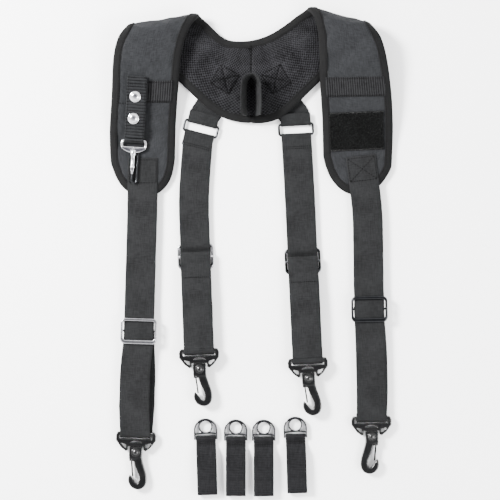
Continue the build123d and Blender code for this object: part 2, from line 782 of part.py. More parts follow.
def gate_part(frame, hand):
    """The sprung tongue that closes the hook's mouth, with its pin."""
    (px, py), (tx, ty) = GATE_PIVOT, GATE_TIP
    with BuildPart() as gate:
        with BuildSketch(frame.offset(-GATE_HALF_Z)):
            with Locations((hand * px, py)):
                Circle(1.8)
            with BuildLine():
                Polyline(
                    (hand * (px - 0.9), py),
                    (hand * (tx - 0.9), ty),
                    (hand * (tx + 0.9), ty),
                    (hand * (px + 0.9), py),
                    close=True,
                )
            make_face()
        extrude(amount=2 * GATE_HALF_Z)
        with BuildSketch(frame.offset(-HOOK_T / 2 + 0.2)):
            with Locations((hand * px, py)):
                Circle(GATE_PIN_R)
        extrude(amount=HOOK_T - 0.4)
    return gate.part


for name, spec in STRAPS.items():
    make_frame = flipped_frame if spec["flipped"] else flat_frame
    frame = make_frame(spec["bar"], spec["tilt"])
    along = spec["slider"]
    hook_height = SLIDER_TOP - HOOK_Z if spec["flipped"] else HOOK_Z
    hook_place = flat_frame(spec["bar"], spec["tilt"], hook_height)

    finish(f"{name}_upper_webbing", upper_part(name, frame))
    loop_webbing = hairpin(
        frame, STRAP_W, (0, HOOK_Z), HOOK_BAR_R + 0.3, BACK_END, FRONT_END, -1
    )
    finish(f"{name}_loop_webbing", loop_webbing)
    tail_webbing = hairpin(
        frame,
        STRAP_W,
        (along, CENTRE_BAR_Z),
        CENTRE_BAR_R + 0.05,
        TAIL_START,
        along - TAIL_RETURN,
        1,
    )
    finish(f"{name}_tail_webbing", tail_webbing)
    finish(f"{name}_slider", slider_part(frame, along))
    finish(f"{name}_hook_frame", hook_frame_part(hook_place, spec["hand"]))
    finish(f"{name}_snap_hook", snap_hook_part(hook_place, spec["hand"]))
    finish(f"{name}_gate", gate_part(hook_place, spec["hand"]))

# ---------------------------------------------------------------- belt loops

LOOP_TURN_R = WIRE_R + RUNNING
LOOP_SEAM = (-32.0, -34.0)
LOOP_MOUTH = -42.0
ARCH_T = 2.2
EYE_RIM = 2.1


def belt_loop_part(frame):
    """Webbing folded through its ring, sewn to itself below, and left open as a tunnel for a belt."""
    bar = -LOOP_BAR_DOWN
    fold_top = LOOP_BAR_Z + LOOP_TURN_R + WEB
    seam_top = 2 * WEB + 0.05
    foot = -LOOP_LENGTH + LOOP_RISE / 2
    with BuildPart() as loop:
        with BuildSketch(side_plane(frame)):
            with BuildLine():
                Polyline(
                    (bar, fold_top),
                    (bar - 2.5, fold_top),
                    (LOOP_SEAM[0], seam_top),
                    (LOOP_SEAM[1], seam_top),
                    (LOOP_MOUTH, LOOP_RISE),
                    (foot, LOOP_RISE),
                )
                ThreePointArc((foot, LOOP_RISE), (-LOOP_LENGTH, LOOP_RISE / 2), (foot, 0))
                Line((foot, 0), (bar, 0))
                ThreePointArc((bar, 0), (bar + fold_top / 2, fold_top / 2), (bar, fold_top))
            make_face()
            with BuildLine():
                Polyline((foot, LOOP_RISE - WEB), (LOOP_MOUTH + 0.6, LOOP_RISE - WEB))
                Polyline((LOOP_MOUTH + 0.6, LOOP_RISE - WEB), (LOOP_SEAM[1] - 0.8, WEB), (foot, WEB))
                ThreePointArc(
                    (foot, WEB), (-LOOP_LENGTH + WEB, LOOP_RISE / 2), (foot, LOOP_RISE - WEB)
                )
            make_face(mode=Mode.SUBTRACT)
            with BuildLine():
                Polyline(
                    (bar, fold_top - WEB),
                    (bar - 2.2, fold_top - WEB),
                    (LOOP_SEAM[0] + 0.7, WEB + 0.1),
                    (LOOP_SEAM[0] + 0.7, WEB),
                    (bar, WEB),
                )
                ThreePointArc(
                    (bar, WEB), (bar + LOOP_TURN_R, LOOP_BAR_Z), (bar, fold_top - WEB)
                )
            make_face(mode=Mode.SUBTRACT)
        extrude(amount=NARROW_W / 2, both=True)
    return loop.part


def belt_loop_ring_part(frame):
    """An arched ring: a round eye for a hook, side windows, and a bar for the webbing."""
    half = LOOP_RING_W / 2
    low = -LOOP_BAR_DOWN - 2.2
    with BuildPart() as ring:
        with BuildSketch(frame.offset(LOOP_BAR_Z - LOOP_PLATE_T / 2)):
            for reach, mode in ((half, Mode.ADD), (half - ARCH_T, Mode.SUBTRACT)):
                with BuildLine():
                    ThreePointArc((-reach, -half), (0, reach - half), (reach, -half))
                    Polyline((reach, -half), (reach, low), (-reach, low), (-reach, -half))
                make_face(mode=mode)
            with Locations((0, -LOOP_HOLE_DOWN)):
                Circle(LOOP_HOLE_R + EYE_RIM)
            with BuildLine():
                ThreePointArc((-half + 1, -18.6), (0, -17.4), (half - 1, -18.6))
                Line((half - 1, -18.6), (half - 1, -20.8))
                ThreePointArc((half - 1, -20.8), (0, -19.6), (-half + 1, -20.8))
                Line((-half + 1, -20.8), (-half + 1, -18.6))
            make_face()
            with Locations((0, -LOOP_HOLE_DOWN)):
                Circle(LOOP_HOLE_R, mode=Mode.SUBTRACT)
        extrude(amount=LOOP_PLATE_T)
        add(rod(frame, -LOOP_BAR_DOWN, LOOP_BAR_Z, WIRE_R, LOOP_RING_W - 1))
    return ring.part


for number, (place, tilt) in enumerate(BELT_LOOPS, start=1):
    loop_frame = flat_frame(place, tilt)
    finish(f"belt_loop_{number}", belt_loop_part(loop_frame))
    finish(f"belt_loop_ring_{number}", belt_loop_ring_part(loop_frame))
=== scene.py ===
"""Looks of the padded tool-belt suspenders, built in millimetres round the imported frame.

+X runs across the harness, +Y towards the neck fold and +Z up from the surface it lies on.
"""

import json
from math import cos, pi, radians, sin

import bpy
import numpy as np
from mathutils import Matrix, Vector, noise

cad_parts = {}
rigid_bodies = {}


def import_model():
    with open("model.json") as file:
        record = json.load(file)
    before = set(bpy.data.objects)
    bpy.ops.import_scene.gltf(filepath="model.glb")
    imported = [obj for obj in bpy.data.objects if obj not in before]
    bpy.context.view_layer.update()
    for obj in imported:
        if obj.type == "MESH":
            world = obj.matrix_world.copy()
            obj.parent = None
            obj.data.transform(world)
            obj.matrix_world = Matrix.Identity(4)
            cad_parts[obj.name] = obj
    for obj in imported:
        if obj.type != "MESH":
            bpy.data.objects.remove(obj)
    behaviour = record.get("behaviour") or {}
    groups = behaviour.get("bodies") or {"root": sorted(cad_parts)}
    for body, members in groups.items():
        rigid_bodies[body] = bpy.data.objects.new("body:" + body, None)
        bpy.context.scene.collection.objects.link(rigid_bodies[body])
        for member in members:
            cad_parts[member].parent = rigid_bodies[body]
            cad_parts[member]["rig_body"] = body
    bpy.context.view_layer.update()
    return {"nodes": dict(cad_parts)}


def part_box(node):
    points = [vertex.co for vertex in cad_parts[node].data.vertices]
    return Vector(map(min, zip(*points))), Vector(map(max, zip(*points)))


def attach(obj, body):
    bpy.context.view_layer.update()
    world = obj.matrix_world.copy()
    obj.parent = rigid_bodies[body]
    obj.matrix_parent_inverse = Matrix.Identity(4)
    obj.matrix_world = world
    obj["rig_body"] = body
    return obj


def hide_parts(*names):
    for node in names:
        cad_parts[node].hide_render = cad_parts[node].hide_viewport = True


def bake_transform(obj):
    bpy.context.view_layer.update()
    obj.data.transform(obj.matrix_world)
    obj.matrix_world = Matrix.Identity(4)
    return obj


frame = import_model()

MM = 0.001
WEB = 1.2
STRAP_W = 38.0
NARROW_W = 25.0

# The shoulder fold and the pad's thickness, as in the CAD model.
PAD_T = 7.0
YOKE_UNDERSIDE = 1.5
FOLD_R = 7.0
FOLD_OUT = FOLD_R + PAD_T
FOLD_Z = YOKE_UNDERSIDE + FOLD_OUT
SLOPE = radians(10.0)
SETTLE_R = 100.0
TOP_Z = FOLD_Z + FOLD_R * cos(SLOPE)
SLOPE_RUN = (TOP_Z - SETTLE_R * (1 - cos(SLOPE))) / sin(SLOPE)
LEVEL_V = FOLD_OUT + (FOLD_R + SETTLE_R) * sin(SLOPE) + SLOPE_RUN * cos(SLOPE)

# Heights of the hardware's bars, and where webbing lies over them.
SLIDER_TOP = 12.8
HOOK_Z = 4.8
CENTRE_BAR_Z = 4.1
RING_Z = 2.9
RING_REACH = 7.0
WRAP_R = 2.2  # radius of the webbing's middle round a bar
RING_WEB_Z = RING_Z + WRAP_R
LOW_WEB_Z = 0.7

STRAPS = {
    "left_front": dict(bar=(-145.5, -230.6), tilt=-1.6, slider=131.0, flipped=False),
    "right_front": dict(bar=(152.4, -210.8), tilt=1.2, slider=139.0, flipped=False),
    "left_back": dict(bar=(-65.9, -125.0), tilt=2.1, slider=119.6, flipped=True),
    "right_back": dict(bar=(71.6, -136.8), tilt=2.7, slider=125.7, flipped=True),
}
FRONT_TOPS = {
    "left_front": [(-137.4, 60.0), (-137.0, 119.5)],
    "right_front": [(147.7, 50.0), (138.7, 122.3)],
}
BACK_BENDS = {"left_back": (-73.0, 68.0), "right_back": (61.9, 70.0)}
RINGS = {
    "left": dict(centre=(-63.5, 157.0), tilt=-14.0, inner=(-36.0, 206.6)),
    "right": dict(centre=(57.0, 156.0), tilt=3.0, inner=(29.5, 206.0)),
}
BELT_LOOPS = [((-58.1, -210.7), 1.8), ((-19.3, -212.0), 0.0), ((16.1, -212.2), 0.0), ((55.7, -208.4), 1.8)]
LOOP_LENGTH = 97.0

PANELS = {
    "left": dict(
        outer=(-154.9, 287.4),
        inner=(-67.3, 301.4),
        inner_edge=[(-82.6, 272.2), (-92.7, 211.2), (-96.5, 162.9), (-97.8, 118.5)],
        toe=[(-105.5, 89.0), (-126.0, 72.5), (-158.0, 80.0)],
        outer_edge=[(-176.5, 113.4), (-177.8, 143.9), (-174.0, 203.6), (-165.1, 268.4)],
    ),
    "right": dict(
        outer=(149.6, 289.7),
        inner=(73.7, 310.1),
        inner_edge=[(81.8, 290.1), (87.9, 219.2), (90.8, 178.7), (92.8, 121.9)],
        toe=[(100.5, 98.0), (128.0, 74.5), (163.0, 86.5)],
        outer_edge=[(176.9, 107.8), (177.9, 132.1), (170.8, 233.3), (160.8, 269.7)],
    ),
}
NECKLINE = [(-49.5, 282.3), (-31.8, 268.4), (-17.1, 265.8), (25.0, 274.8), (43.2, 286.1)]
YOKE_LOWER = [(-91.9, 218.8), (-66.0, 193.9), (-35.6, 171.8), (-1.3, 164.7), (31.1, 168.5), (60.5, 191.9),
              (87.9, 219.2)]
SEAM_X = 0.0
SEAM_LAP = 2.2  # how far each half of the yoke runs past the centre seam
YOKE_BOX_X = {"left": -33.0, "right": 32.0}
YOKE_BOX_Y = 219.0
YOKE_BOX = 27.0

BAND_Y = {"left": (188.0, 215.0), "right": (195.5, 220.0)}
UNDER_KEY_X = (-150.0, -148.5)  # where the left band starts, hidden by the key strap
PATCH = [(100.5, 127.5), (168.5, 130.5), (167.0, 178.5), (98.5, 176.0)]
KEY_TOP = (-142.6, 221.4)
KEY_BAR = (-147.7, 141.0)
KEY_TILT = -3.5
KEY_RIB = 3.8
KEY_BACK = 8.2
KEY_FLAP = 12.7
SNAPS = [(-145.7, 196.5), (-148.2, 169.5)]

# ---- curves and frames

X_WAY = np.array([1.0, 0, 0])
Z_WAY = np.array([0, 0, 1.0])


def across_of(tilt):
    """The unit vector across a piece whose length is tilted by this angle from +Y."""
    return np.array([cos(radians(tilt)), sin(radians(tilt)), 0.0])


def along_of(tilt):
    """The unit vector along such a piece."""
    return np.array([-sin(radians(tilt)), cos(radians(tilt)), 0.0])


def smooth_curve(points, count=90):
    """Points of the smoothest curve through the given ones."""
    pts = np.asarray(points, float)
    t = np.concatenate([[0], np.cumsum(np.linalg.norm(np.diff(pts, axis=0), axis=1))])
    h = np.diff(t)
    matrix, bends = np.eye(len(pts)), np.zeros_like(pts)
    for i in range(1, len(pts) - 1):
        matrix[i, i - 1 : i + 2] = h[i - 1], 2 * (h[i - 1] + h[i]), h[i]
        bends[i] = 6 * ((pts[i + 1] - pts[i]) / h[i] - (pts[i] - pts[i - 1]) / h[i - 1])
    m = np.linalg.solve(matrix, bends)
    s = np.linspace(0, t[-1], count)
    k = np.clip(np.searchsorted(t, s, side="right") - 1, 0, len(pts) - 2)
    before, after, w = (s - t[k])[:, None], (t[k + 1] - s)[:, None], h[k][:, None]
    cubic = (m[k] * after**3 + m[k + 1] * before**3) / (6 * w)
    return cubic + (pts[k] / w - m[k] * w / 6) * after + (pts[k + 1] / w - m[k + 1] * w / 6) * before


def lengths(line):
    """How far along a line each of its points is."""
    return np.concatenate([[0], np.cumsum(np.linalg.norm(np.diff(line, axis=0), axis=1))])


def spaced(line, fractions):
    """Points of a line at these fractions of its length."""
    line = np.asarray(line, float)
    run = lengths(line)
    places = np.asarray(fractions) * run[-1]
    return np.stack([np.interp(places, run, line[:, i]) for i in range(line.shape[1])], axis=1)


def evenly(line, step):
    """A line's points again, one about every step."""
    line = np.asarray(line, float)
    count = max(2, int(round(lengths(line)[-1] / step)) + 1)
    return spaced(line, np.linspace(0, 1, count))


def unit(vectors):
    """The vectors, each of length 1."""
    return vectors / np.maximum(np.linalg.norm(vectors, axis=-1, keepdims=True), 1e-9)


def inside(points, outline):
    """Which of the plan points lie inside a closed outline."""
    x, y = points[:, 0], points[:, 1]
    found = np.zeros(len(points), bool)
    for (x0, y0), (x1, y1) in zip(outline, outline[1:] + outline[:1]):
        crosses = (y0 > y) != (y1 > y)
        found ^= crosses & (x < (x1 - x0) * (y - y0) / (y1 - y0 + 1e-12) + x0)
    return found


def rectangle(x0, y0, x1, y1):
    """The corners of a plan rectangle."""
    return [(x0, y0), (x1, y0), (x1, y1), (x0, y1)]


def wobble(point, size, seed):
    """A smooth random number between about -1 and 1 that changes over this size."""
    return noise.noise(Vector(point) / size + Vector((seed * 7.3, seed * 3.1, seed * 5.7)))


# ---- materials


def put(tree, socket, value):
    """Links a socket to another, or sets it to a number."""
    if isinstance(value, bpy.types.NodeSocket):
        tree.links.new(value, socket)
    else:
        socket.default_value = value


def calc(tree, operation, first, second=0.0):
    """A Math node's result."""
    node = tree.nodes.new("ShaderNodeMath")
    node.operation = operation
    put(tree, node.inputs[0], first)
    put(tree, node.inputs[1], second)
    return node.outputs[0]


def plus(tree, first, second):
    """The sum of two values."""
    return calc(tree, "ADD", first, second)


def times(tree, first, second):
    """The product of two values."""
    return calc(tree, "MULTIPLY", first, second)


def centred(tree, value, middle, strength):
    """A noise value measured from its middle, and made stronger or weaker."""
    return times(tree, calc(tree, "SUBTRACT", value, middle), strength)


def noise_value(tree, coords, scale, detail=2.0):
    """A noise texture's value over these coordinates."""
    node = tree.nodes.new("ShaderNodeTexNoise")
    node.inputs["Scale"].default_value = scale
    node.inputs["Detail"].default_value = detail
    tree.links.new(coords, node.inputs["Vector"])
    return node.outputs["Fac"]


def ramp(tree, value, stops):
    """A colour ramp of (place, colour) stops."""
    node = tree.nodes.new("ShaderNodeValToRGB")
    tree.links.new(value, node.inputs["Fac"])
    marks = node.color_ramp.elements
    while len(marks) < len(stops):
        marks.new(0.5)
    for mark, (place, colour) in zip(marks, stops):
        mark.position = place
        mark.color = (*colour, 1)
    return node.outputs["Color"]


def start_material(name, rough, metallic=0.0):
    """A material with its shader's plain values set. Gives the material, its tree and its shader."""
    material = bpy.data.materials.new(name)
    material.use_nodes = True
    tree = material.node_tree
    shader = tree.nodes["Principled BSDF"]
    shader.inputs["Roughness"].default_value = rough
    shader.inputs["Metallic"].default_value = metallic
    return material, tree, shader


def add_bump(tree, shader, height, depth):
    """Gives the shader relief of this depth in millimetres."""
    node = tree.nodes.new("ShaderNodeBump")
    node.inputs["Distance"].default_value = depth * MM
    tree.links.new(height, node.inputs["Height"])
    tree.links.new(node.outputs["Normal"], shader.inputs["Normal"])


def weave_coords(tree):
    """The mesh's own map in millimetres: how far along the piece, how far across it, and both."""
    node = tree.nodes.new("ShaderNodeUVMap")
    node.uv_map = "weave"
    parts = tree.nodes.new("ShaderNodeSeparateXYZ")
    tree.links.new(node.outputs["UV"], parts.inputs["Vector"])
    return parts.outputs["X"], parts.outputs["Y"], node.outputs["UV"]


def plain_weave(tree, u, v, rib, thread):
    """Threads over and under each other: a height between 0 and 1."""
    su = calc(tree, "SINE", times(tree, u, pi / rib))
    sv = calc(tree, "SINE", times(tree, v, pi / thread))
    side = plus(tree, times(tree, times(tree, su, sv), 0.5), 0.5)
    over = times(tree, calc(tree, "ABSOLUTE", sv), side)
    under = times(tree, calc(tree, "ABSOLUTE", su), calc(tree, "SUBTRACT", 1.0, side))
    return plus(tree, over, under)


def ribbed(tree, u, rib):
    """Straight ribs across the piece: a height between 0 and 1."""
    return calc(tree, "ABSOLUTE", calc(tree, "SINE", times(tree, u, pi / rib)))


def ribbed_weave(tree, u, v):
    """The key strap's heavy ribs over a fine weave."""
    fine = plain_weave(tree, u, v, 1.9, 1.5)
    return plus(tree, times(tree, ribbed(tree, u, KEY_RIB), 0.7), times(tree, fine, 0.35))


def mesh_holes(tree, u, v, pitch):
    """Staggered round holes of a spacer mesh: a height between 0 and 1, low in the holes."""
    ridges = [calc(tree, "COSINE", times(tree, way, 2 * pi / pitch)) for way in
              (plus(tree, u, v), calc(tree, "SUBTRACT", u, v))]
    return plus(tree, times(tree, plus(tree, *ridges), 0.25), 0.5)


def pile_clumps(tree, u, v):
    """Clumps of a hook-and-loop patch's fibres."""
    return centred(tree, noise_value(tree, weave_coords(tree)[2], 0.5, 5.0), 0.44, 4.0)


def slub_noise(tree, u, v, along, across):
    """Noise drawn out into streaks, for the uneven threads of a cloth."""
    streaks = tree.nodes.new("ShaderNodeCombineXYZ")
    put(tree, streaks.inputs["X"], times(tree, u, along))
    put(tree, streaks.inputs["Y"], times(tree, v, across))
    return noise_value(tree, streaks.outputs["Vector"], 1.0, 2.0)


CLOTH_ROUGH, CLOTH_SHEEN, CLOTH_GLOSS = 0.85, 0.015, 0.05
WORN_SCALE, FIBRE_SCALE = 0.035, 2.6  # noise scales, for each millimetre
SLUB_LONG, SLUB_SHORT = 0.11, 0.75


def fabric(name, dark, light, height_of, depth, fuzz=0.25, worn=0.22, slub=0.9):
    """Cloth: colour by thread height, painted shade in the weave's hollows and painted light on its crowns,
    with soft patches of wear, uneven threads and a fuzz of fine fibres.
    """
    material, tree, shader = start_material(name, CLOTH_ROUGH)
    shader.inputs["Sheen Weight"].default_value = CLOTH_SHEEN
    shader.inputs["Sheen Roughness"].default_value = 0.45
    shader.inputs["Specular IOR Level"].default_value = CLOTH_GLOSS
    u, v, both = weave_coords(tree)
    patches = noise_value(tree, both, WORN_SCALE, 3.0)
    fibres = noise_value(tree, both, FIBRE_SCALE, 2.0)
    streaks = [slub_noise(tree, u, v, *sizes) for sizes in ((SLUB_LONG, SLUB_SHORT), (SLUB_SHORT, SLUB_LONG))]
    height = plus(tree, height_of(tree, u, v), centred(tree, plus(tree, *streaks), 1.0, slub))
    weave_shade_and_wear = plus(tree, height, centred(tree, patches, 0.5, 4 * worn))
    weave_shade_and_wear = plus(tree, weave_shade_and_wear, centred(tree, fibres, 0.5, fuzz))
    # Painted shade and highlight: low threads take the dark colour and raised threads the light one; wear and
    # fibres vary it at random.
    tree.links.new(ramp(tree, weave_shade_and_wear, [(0.05, dark), (0.95, light)]), shader.inputs["Base Color"])
    add_bump(tree, shader, plus(tree, height, times(tree, fibres, fuzz)), depth)
    return material


SMEAR_SCALE, GRAIN_SCALE = 180.0, 1500.0  # noise scales, for each metre


def metal(name, colour, rough, metallic=1.0):
    """Plated or moulded hardware with faint handling marks."""
    material, tree, shader = start_material(name, rough, metallic)
    place = tree.nodes.new("ShaderNodeTexCoord").outputs["Object"]
    smears = noise_value(tree, place, SMEAR_SCALE, 4.0)
    low = tuple(c * 0.82 for c in colour)
    tree.links.new(ramp(tree, smears, [(0.3, low), (0.7, colour)]), shader.inputs["Base Color"])
    tree.links.new(plus(tree, times(tree, smears, 0.16), rough - 0.08), shader.inputs["Roughness"])
    add_bump(tree, shader, noise_value(tree, place, GRAIN_SCALE, 2.0), 0.02)
    return material


# Each cloth runs from its colour in painted shade, in the weave's hollows, to its colour in painted
# highlight, on the crowns.
MATERIALS = {
    "webbing": fabric(
        "strap_webbing", (0.0019, 0.0019, 0.0020), (0.0116, 0.0119, 0.0123),
        lambda t, u, v: plain_weave(t, u, v, 1.2, 1.0), 0.2,
    ),
    "loop_webbing": fabric(
        "belt_loop_webbing", (0.0009, 0.0009, 0.0010), (0.0091, 0.0091, 0.0099),
        lambda t, u, v: plain_weave(t, u, v, 2.1, 1.6), 0.4, fuzz=0.7,
    ),
    "key_webbing": fabric(
        "key_strap_webbing", (0.0012, 0.0012, 0.0014), (0.0102, 0.0106, 0.0113), ribbed_weave, 0.45
    ),
    "pad_nylon": fabric(
        "pad_nylon", (0.0024, 0.0025, 0.0028), (0.0157, 0.0164, 0.0177),
        lambda t, u, v: plain_weave(t, u, v, 1.5, 1.5), 0.25, worn=0.08,
    ),
    "binding_tape": fabric(
        "binding_tape", (0.0023, 0.0023, 0.0024), (0.0058, 0.0058, 0.0059),
        lambda t, u, v: ribbed(t, u, 1.1), 0.08,
    ),
    # The mesh's holes get painted shade and the ridges between them painted light dots.
    "spacer_mesh": fabric(
        "spacer_mesh", (0.0003, 0.0003, 0.0004), (0.0138, 0.0138, 0.0151),
        lambda t, u, v: mesh_holes(t, u, v, 3.9), 0.8, fuzz=0.3, worn=0.35,
    ),
    "elastic": fabric(
        "ribbed_elastic", (0.0010, 0.0010, 0.0011), (0.0116, 0.0116, 0.0123),
        lambda t, u, v: ribbed(t, v, 2.9), 0.6,
    ),
    "loop_pile": fabric(
        "loop_pile", (0.0001, 0.0001, 0.0001), (0.0085, 0.0092, 0.0089), pile_clumps, 1.0, fuzz=1.6, slub=0.0
    ),
    "lint": fabric(
        "pale_lint", (0.0110, 0.0110, 0.0110), (0.0605, 0.0605, 0.0605),
        lambda t, u, v: ribbed(t, u, 0.6), 0.1,
    ),
    # Near-black thread: partly the thread's own colour, partly painted shade of the stitch lines sunk into
    # the cloth.
    "thread": fabric(
        "thread", (0.0002, 0.0002, 0.0002), (0.0017, 0.0017, 0.0018), lambda t, u, v: ribbed(t, u, 0.6), 0.1
    ),
    "black_plastic": metal("moulded_black", (0.001, 0.001, 0.001), 0.22, metallic=0.0),
    # A brighter copy of the dark slider plating, for the left sliders: painted reflection.
    "nickel": metal("nickel_painted_reflection", (0.27, 0.27, 0.28), 0.22),
    "gunmetal": metal("black_nickel", (0.028, 0.029, 0.031), 0.20),
    "belt_ring_gunmetal": metal("belt_ring_nickel", (0.095, 0.096, 0.100), 0.18),
    "chrome": metal("polished_chrome", (0.55, 0.55, 0.57), 0.12),
}

# ---- making pieces


def make_piece(name, points, faces, kind, weave=None):
    """A mesh object from points in millimetres, with its weave map in millimetres."""
    mesh = bpy.data.meshes.new(name)
    mesh.from_pydata([tuple(p) for p in np.asarray(points) * MM], [], faces)
    mesh.materials.append(MATERIALS[kind])
    if weave is not None:
        layer = mesh.uv_layers.new(name="weave")
        corners = np.zeros(len(mesh.loops), np.int32)
        mesh.loops.foreach_get("vertex_index", corners)
        layer.data.foreach_set("uv", np.asarray(weave, np.float32)[corners].ravel())
    mesh.polygons.foreach_set("use_smooth", [True] * len(mesh.polygons))
    mesh.validate()
    piece = bpy.data.objects.new(name, mesh)
    bpy.context.scene.collection.objects.link(piece)
    return piece


def place_piece(piece, body, nodes=()):
    """Puts a finished piece on its body, and hides the nodes it stands for."""
    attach(piece, body)
    if nodes:
        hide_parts(*nodes)
    return piece


def tube_faces(rings, around):
    """Faces of a tube made of rings of points, with its two ends filled."""
    faces = []
    for i in range(rings - 1):
        for j in range(around):
            k = (j + 1) % around
            faces.append((i * around + j, i * around + k, (i + 1) * around + k, (i + 1) * around + j))
    faces.append(tuple(range(around))[::-1])
    faces.append(tuple((rings - 1) * around + j for j in range(around)))
    return faces


def add_shape(points, faces, more_points, more_faces):
    """Adds a shape's points and faces to lists that may hold others already."""
    faces += [tuple(len(points) + k for k in face) for face in more_faces]
    points += more_points


def rounded(piece, levels):
    """Rounds a piece off by subdivision."""
    modifier = piece.modifiers.new("round", "SUBSURF")
    modifier.levels = modifier.render_levels = levels


def cross_section(width, thick, columns):
    """Webbing cut across: flat faces, and rolled edges with a thicker selvedge."""
    half, t = width / 2, thick / 2
    xs = np.linspace(-half + t, half - t, columns + 1)
    top = [(x, t * (1.0 + 0.10 * (abs(x) > half - 2.5))) for x in xs]
    edge = [(half - t * 0.3, t * 0.7), (half, 0.0), (half - t * 0.3, -t * 0.7)]
    other = [(-x, z) for x, z in edge][::-1]
    bottom = [(x, -z) for x, z in top][::-1]
    return np.array(top + edge + bottom + other)


def webbing(
    name, line, across, kind, width=STRAP_W, thick=WEB, columns=12, step=2.0, seed=1, wave=0.25, ribs=None
):
    """Flat webbing swept along a line. Its edges wander slightly, and its face dips and swells a little."""
    line = np.asarray(line, float)
    across = np.broadcast_to(np.asarray(across, float), line.shape)
    both = evenly(np.concatenate([line, across], axis=1)[:, :3], step)
    run, dense = lengths(line), lengths(both)
    scale = run[-1] / dense[-1]
    sides = unit(np.stack([np.interp(dense * scale, run, across[:, i]) for i in range(3)], axis=1))
    tangents = unit(np.gradient(both, axis=0))
    sides = unit(sides - tangents * np.sum(sides * tangents, axis=1, keepdims=True))
    ups = unit(np.cross(sides, tangents))
    section = cross_section(width, thick, columns)
    points, weave = [], []
    for place, centre, side, up in zip(dense, both, sides, ups):
        left = 1 + 0.010 * wobble(centre, 9.0, seed)
        right = 1 + 0.010 * wobble(centre, 9.0, seed + 3)
        swell = 1.0 if not ribs else 1 + ribs[1] * (abs(sin(pi * place / ribs[0])) - 0.6)
        for x, z in section:
            reach = x * (left if x < 0 else right)
            spot = centre + side * x
            dip = wave * wobble(spot, 26.0, seed + 5) + 0.12 * wobble(spot, 6.0, seed)
            points.append(centre + side * reach + up * (z * swell + dip * min(1.0, wave * 10)))
            weave.append((place, x))
    return make_piece(name, points, tube_faces(len(both), len(section)), kind, weave)


def arc(centre, radius, start, end, steps=10):
    """Points (along, height) of an arc given by angles in degrees."""
    angles = np.radians(np.linspace(start, end, steps))
    return [(centre[0] + radius * cos(a), centre[1] + radius * sin(a)) for a in angles]


THREADS = {}
STITCH_OUTLINE = [(0, 0.5), (0.5, 0.2), (0.5, -0.3), (-0.5, -0.3), (-0.5, 0.2)]
STITCH_STEPS = [(0.0, 0.35), (0.15, 0.85), (0.5, 1.0), (0.85, 0.85), (1.0, 0.35)]  # place and swell
STITCH_SINK = 0.12


def stitch(body, line, ups, pitch=3.2, share=0.74, width=0.7, seed=1):
    """Adds a row of short raised stitches along a line, to the thread that rides on this body."""
    line = np.asarray(line, float)
    ups = np.broadcast_to(np.asarray(ups, float), line.shape)
    run = lengths(line)
    count = max(1, int(run[-1] // pitch))
    points, faces, weave = THREADS.setdefault(body, ([], [], []))
    for i in range(count):
        low = (i + 0.5 - share / 2) * run[-1] / count
        places = low + np.array([place for place, _ in STITCH_STEPS]) * share * run[-1] / count
        spots = np.stack([np.interp(places, run, line[:, k]) for k in range(3)], axis=1)
        up = unit(np.array([np.interp(places[2], run, ups[:, k]) for k in range(3)]))
        along = unit(spots[-1] - spots[0])
        side = np.cross(along, up) + 0.10 * wobble(spots[2], 1.7, seed) * along
        bead = []
        for spot, (_, swell) in zip(spots, STITCH_STEPS):
            for x, z in STITCH_OUTLINE:
                lift = z * width * swell - STITCH_SINK * (swell < 0.5)
                bead.append(spot + side * x * width * swell + up * lift)
                weave.append((x, z))
        add_shape(points, faces, bead, tube_faces(len(STITCH_STEPS), len(STITCH_OUTLINE)))


def finish_stitches():
    """Makes one piece of thread for each body."""
    for body, (points, faces, weave) in THREADS.items():
        place_piece(make_piece(f"{body}_stitching", points, faces, "thread", weave), body)


def lathe(place, up, side, profile, steps=40):
    """Points and faces of a turned shape: profile is (radius, height) from its foot to its top."""
    other = np.cross(up, side)
    points = []
    for radius, height in profile:
        for i in range(steps):
            a = 2 * pi * i / steps
            points.append(place + up * height + (side * cos(a) + other * sin(a)) * radius)
    return points, tube_faces(len(profile), steps)


def moulded(node, kind, voxel=0.5, rounds=4):
    """A hardware part with the soft edges of a moulding, remeshed from its CAD node."""
    source = frame["nodes"][node]
    mesh = source.data.copy()
    piece = bpy.data.objects.new(f"{node}_moulding", mesh)
    bpy.context.scene.collection.objects.link(piece)
    remesh = piece.modifiers.new("remesh", "REMESH")
    remesh.mode = "VOXEL"
    remesh.voxel_size = voxel * MM
    relax = piece.modifiers.new("relax", "SMOOTH")
    relax.factor = 0.5
    relax.iterations = rounds
    bpy.context.view_layer.update()
    shaped = bpy.data.meshes.new_from_object(piece.evaluated_get(bpy.context.evaluated_depsgraph_get()))
    piece.modifiers.clear()
    piece.data = shaped
    bpy.data.meshes.remove(mesh)
    shaped.materials.clear()
    shaped.materials.append(MATERIALS[kind])
    shaped.polygons.foreach_set("use_smooth", [True] * len(shaped.polygons))
    return place_piece(piece, source["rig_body"], [node])


# ---- shoulder pads


def fold_of(side):
    """The fold line's middle and the direction away from the neck, in plan."""
    ends = sorted([PANELS[side]["outer"], PANELS[side]["inner"]])
    start, end = np.array(ends[0]), np.array(ends[1])
    line = unit(end - start)
    return (start + end) / 2, np.array([line[1], -line[0]])


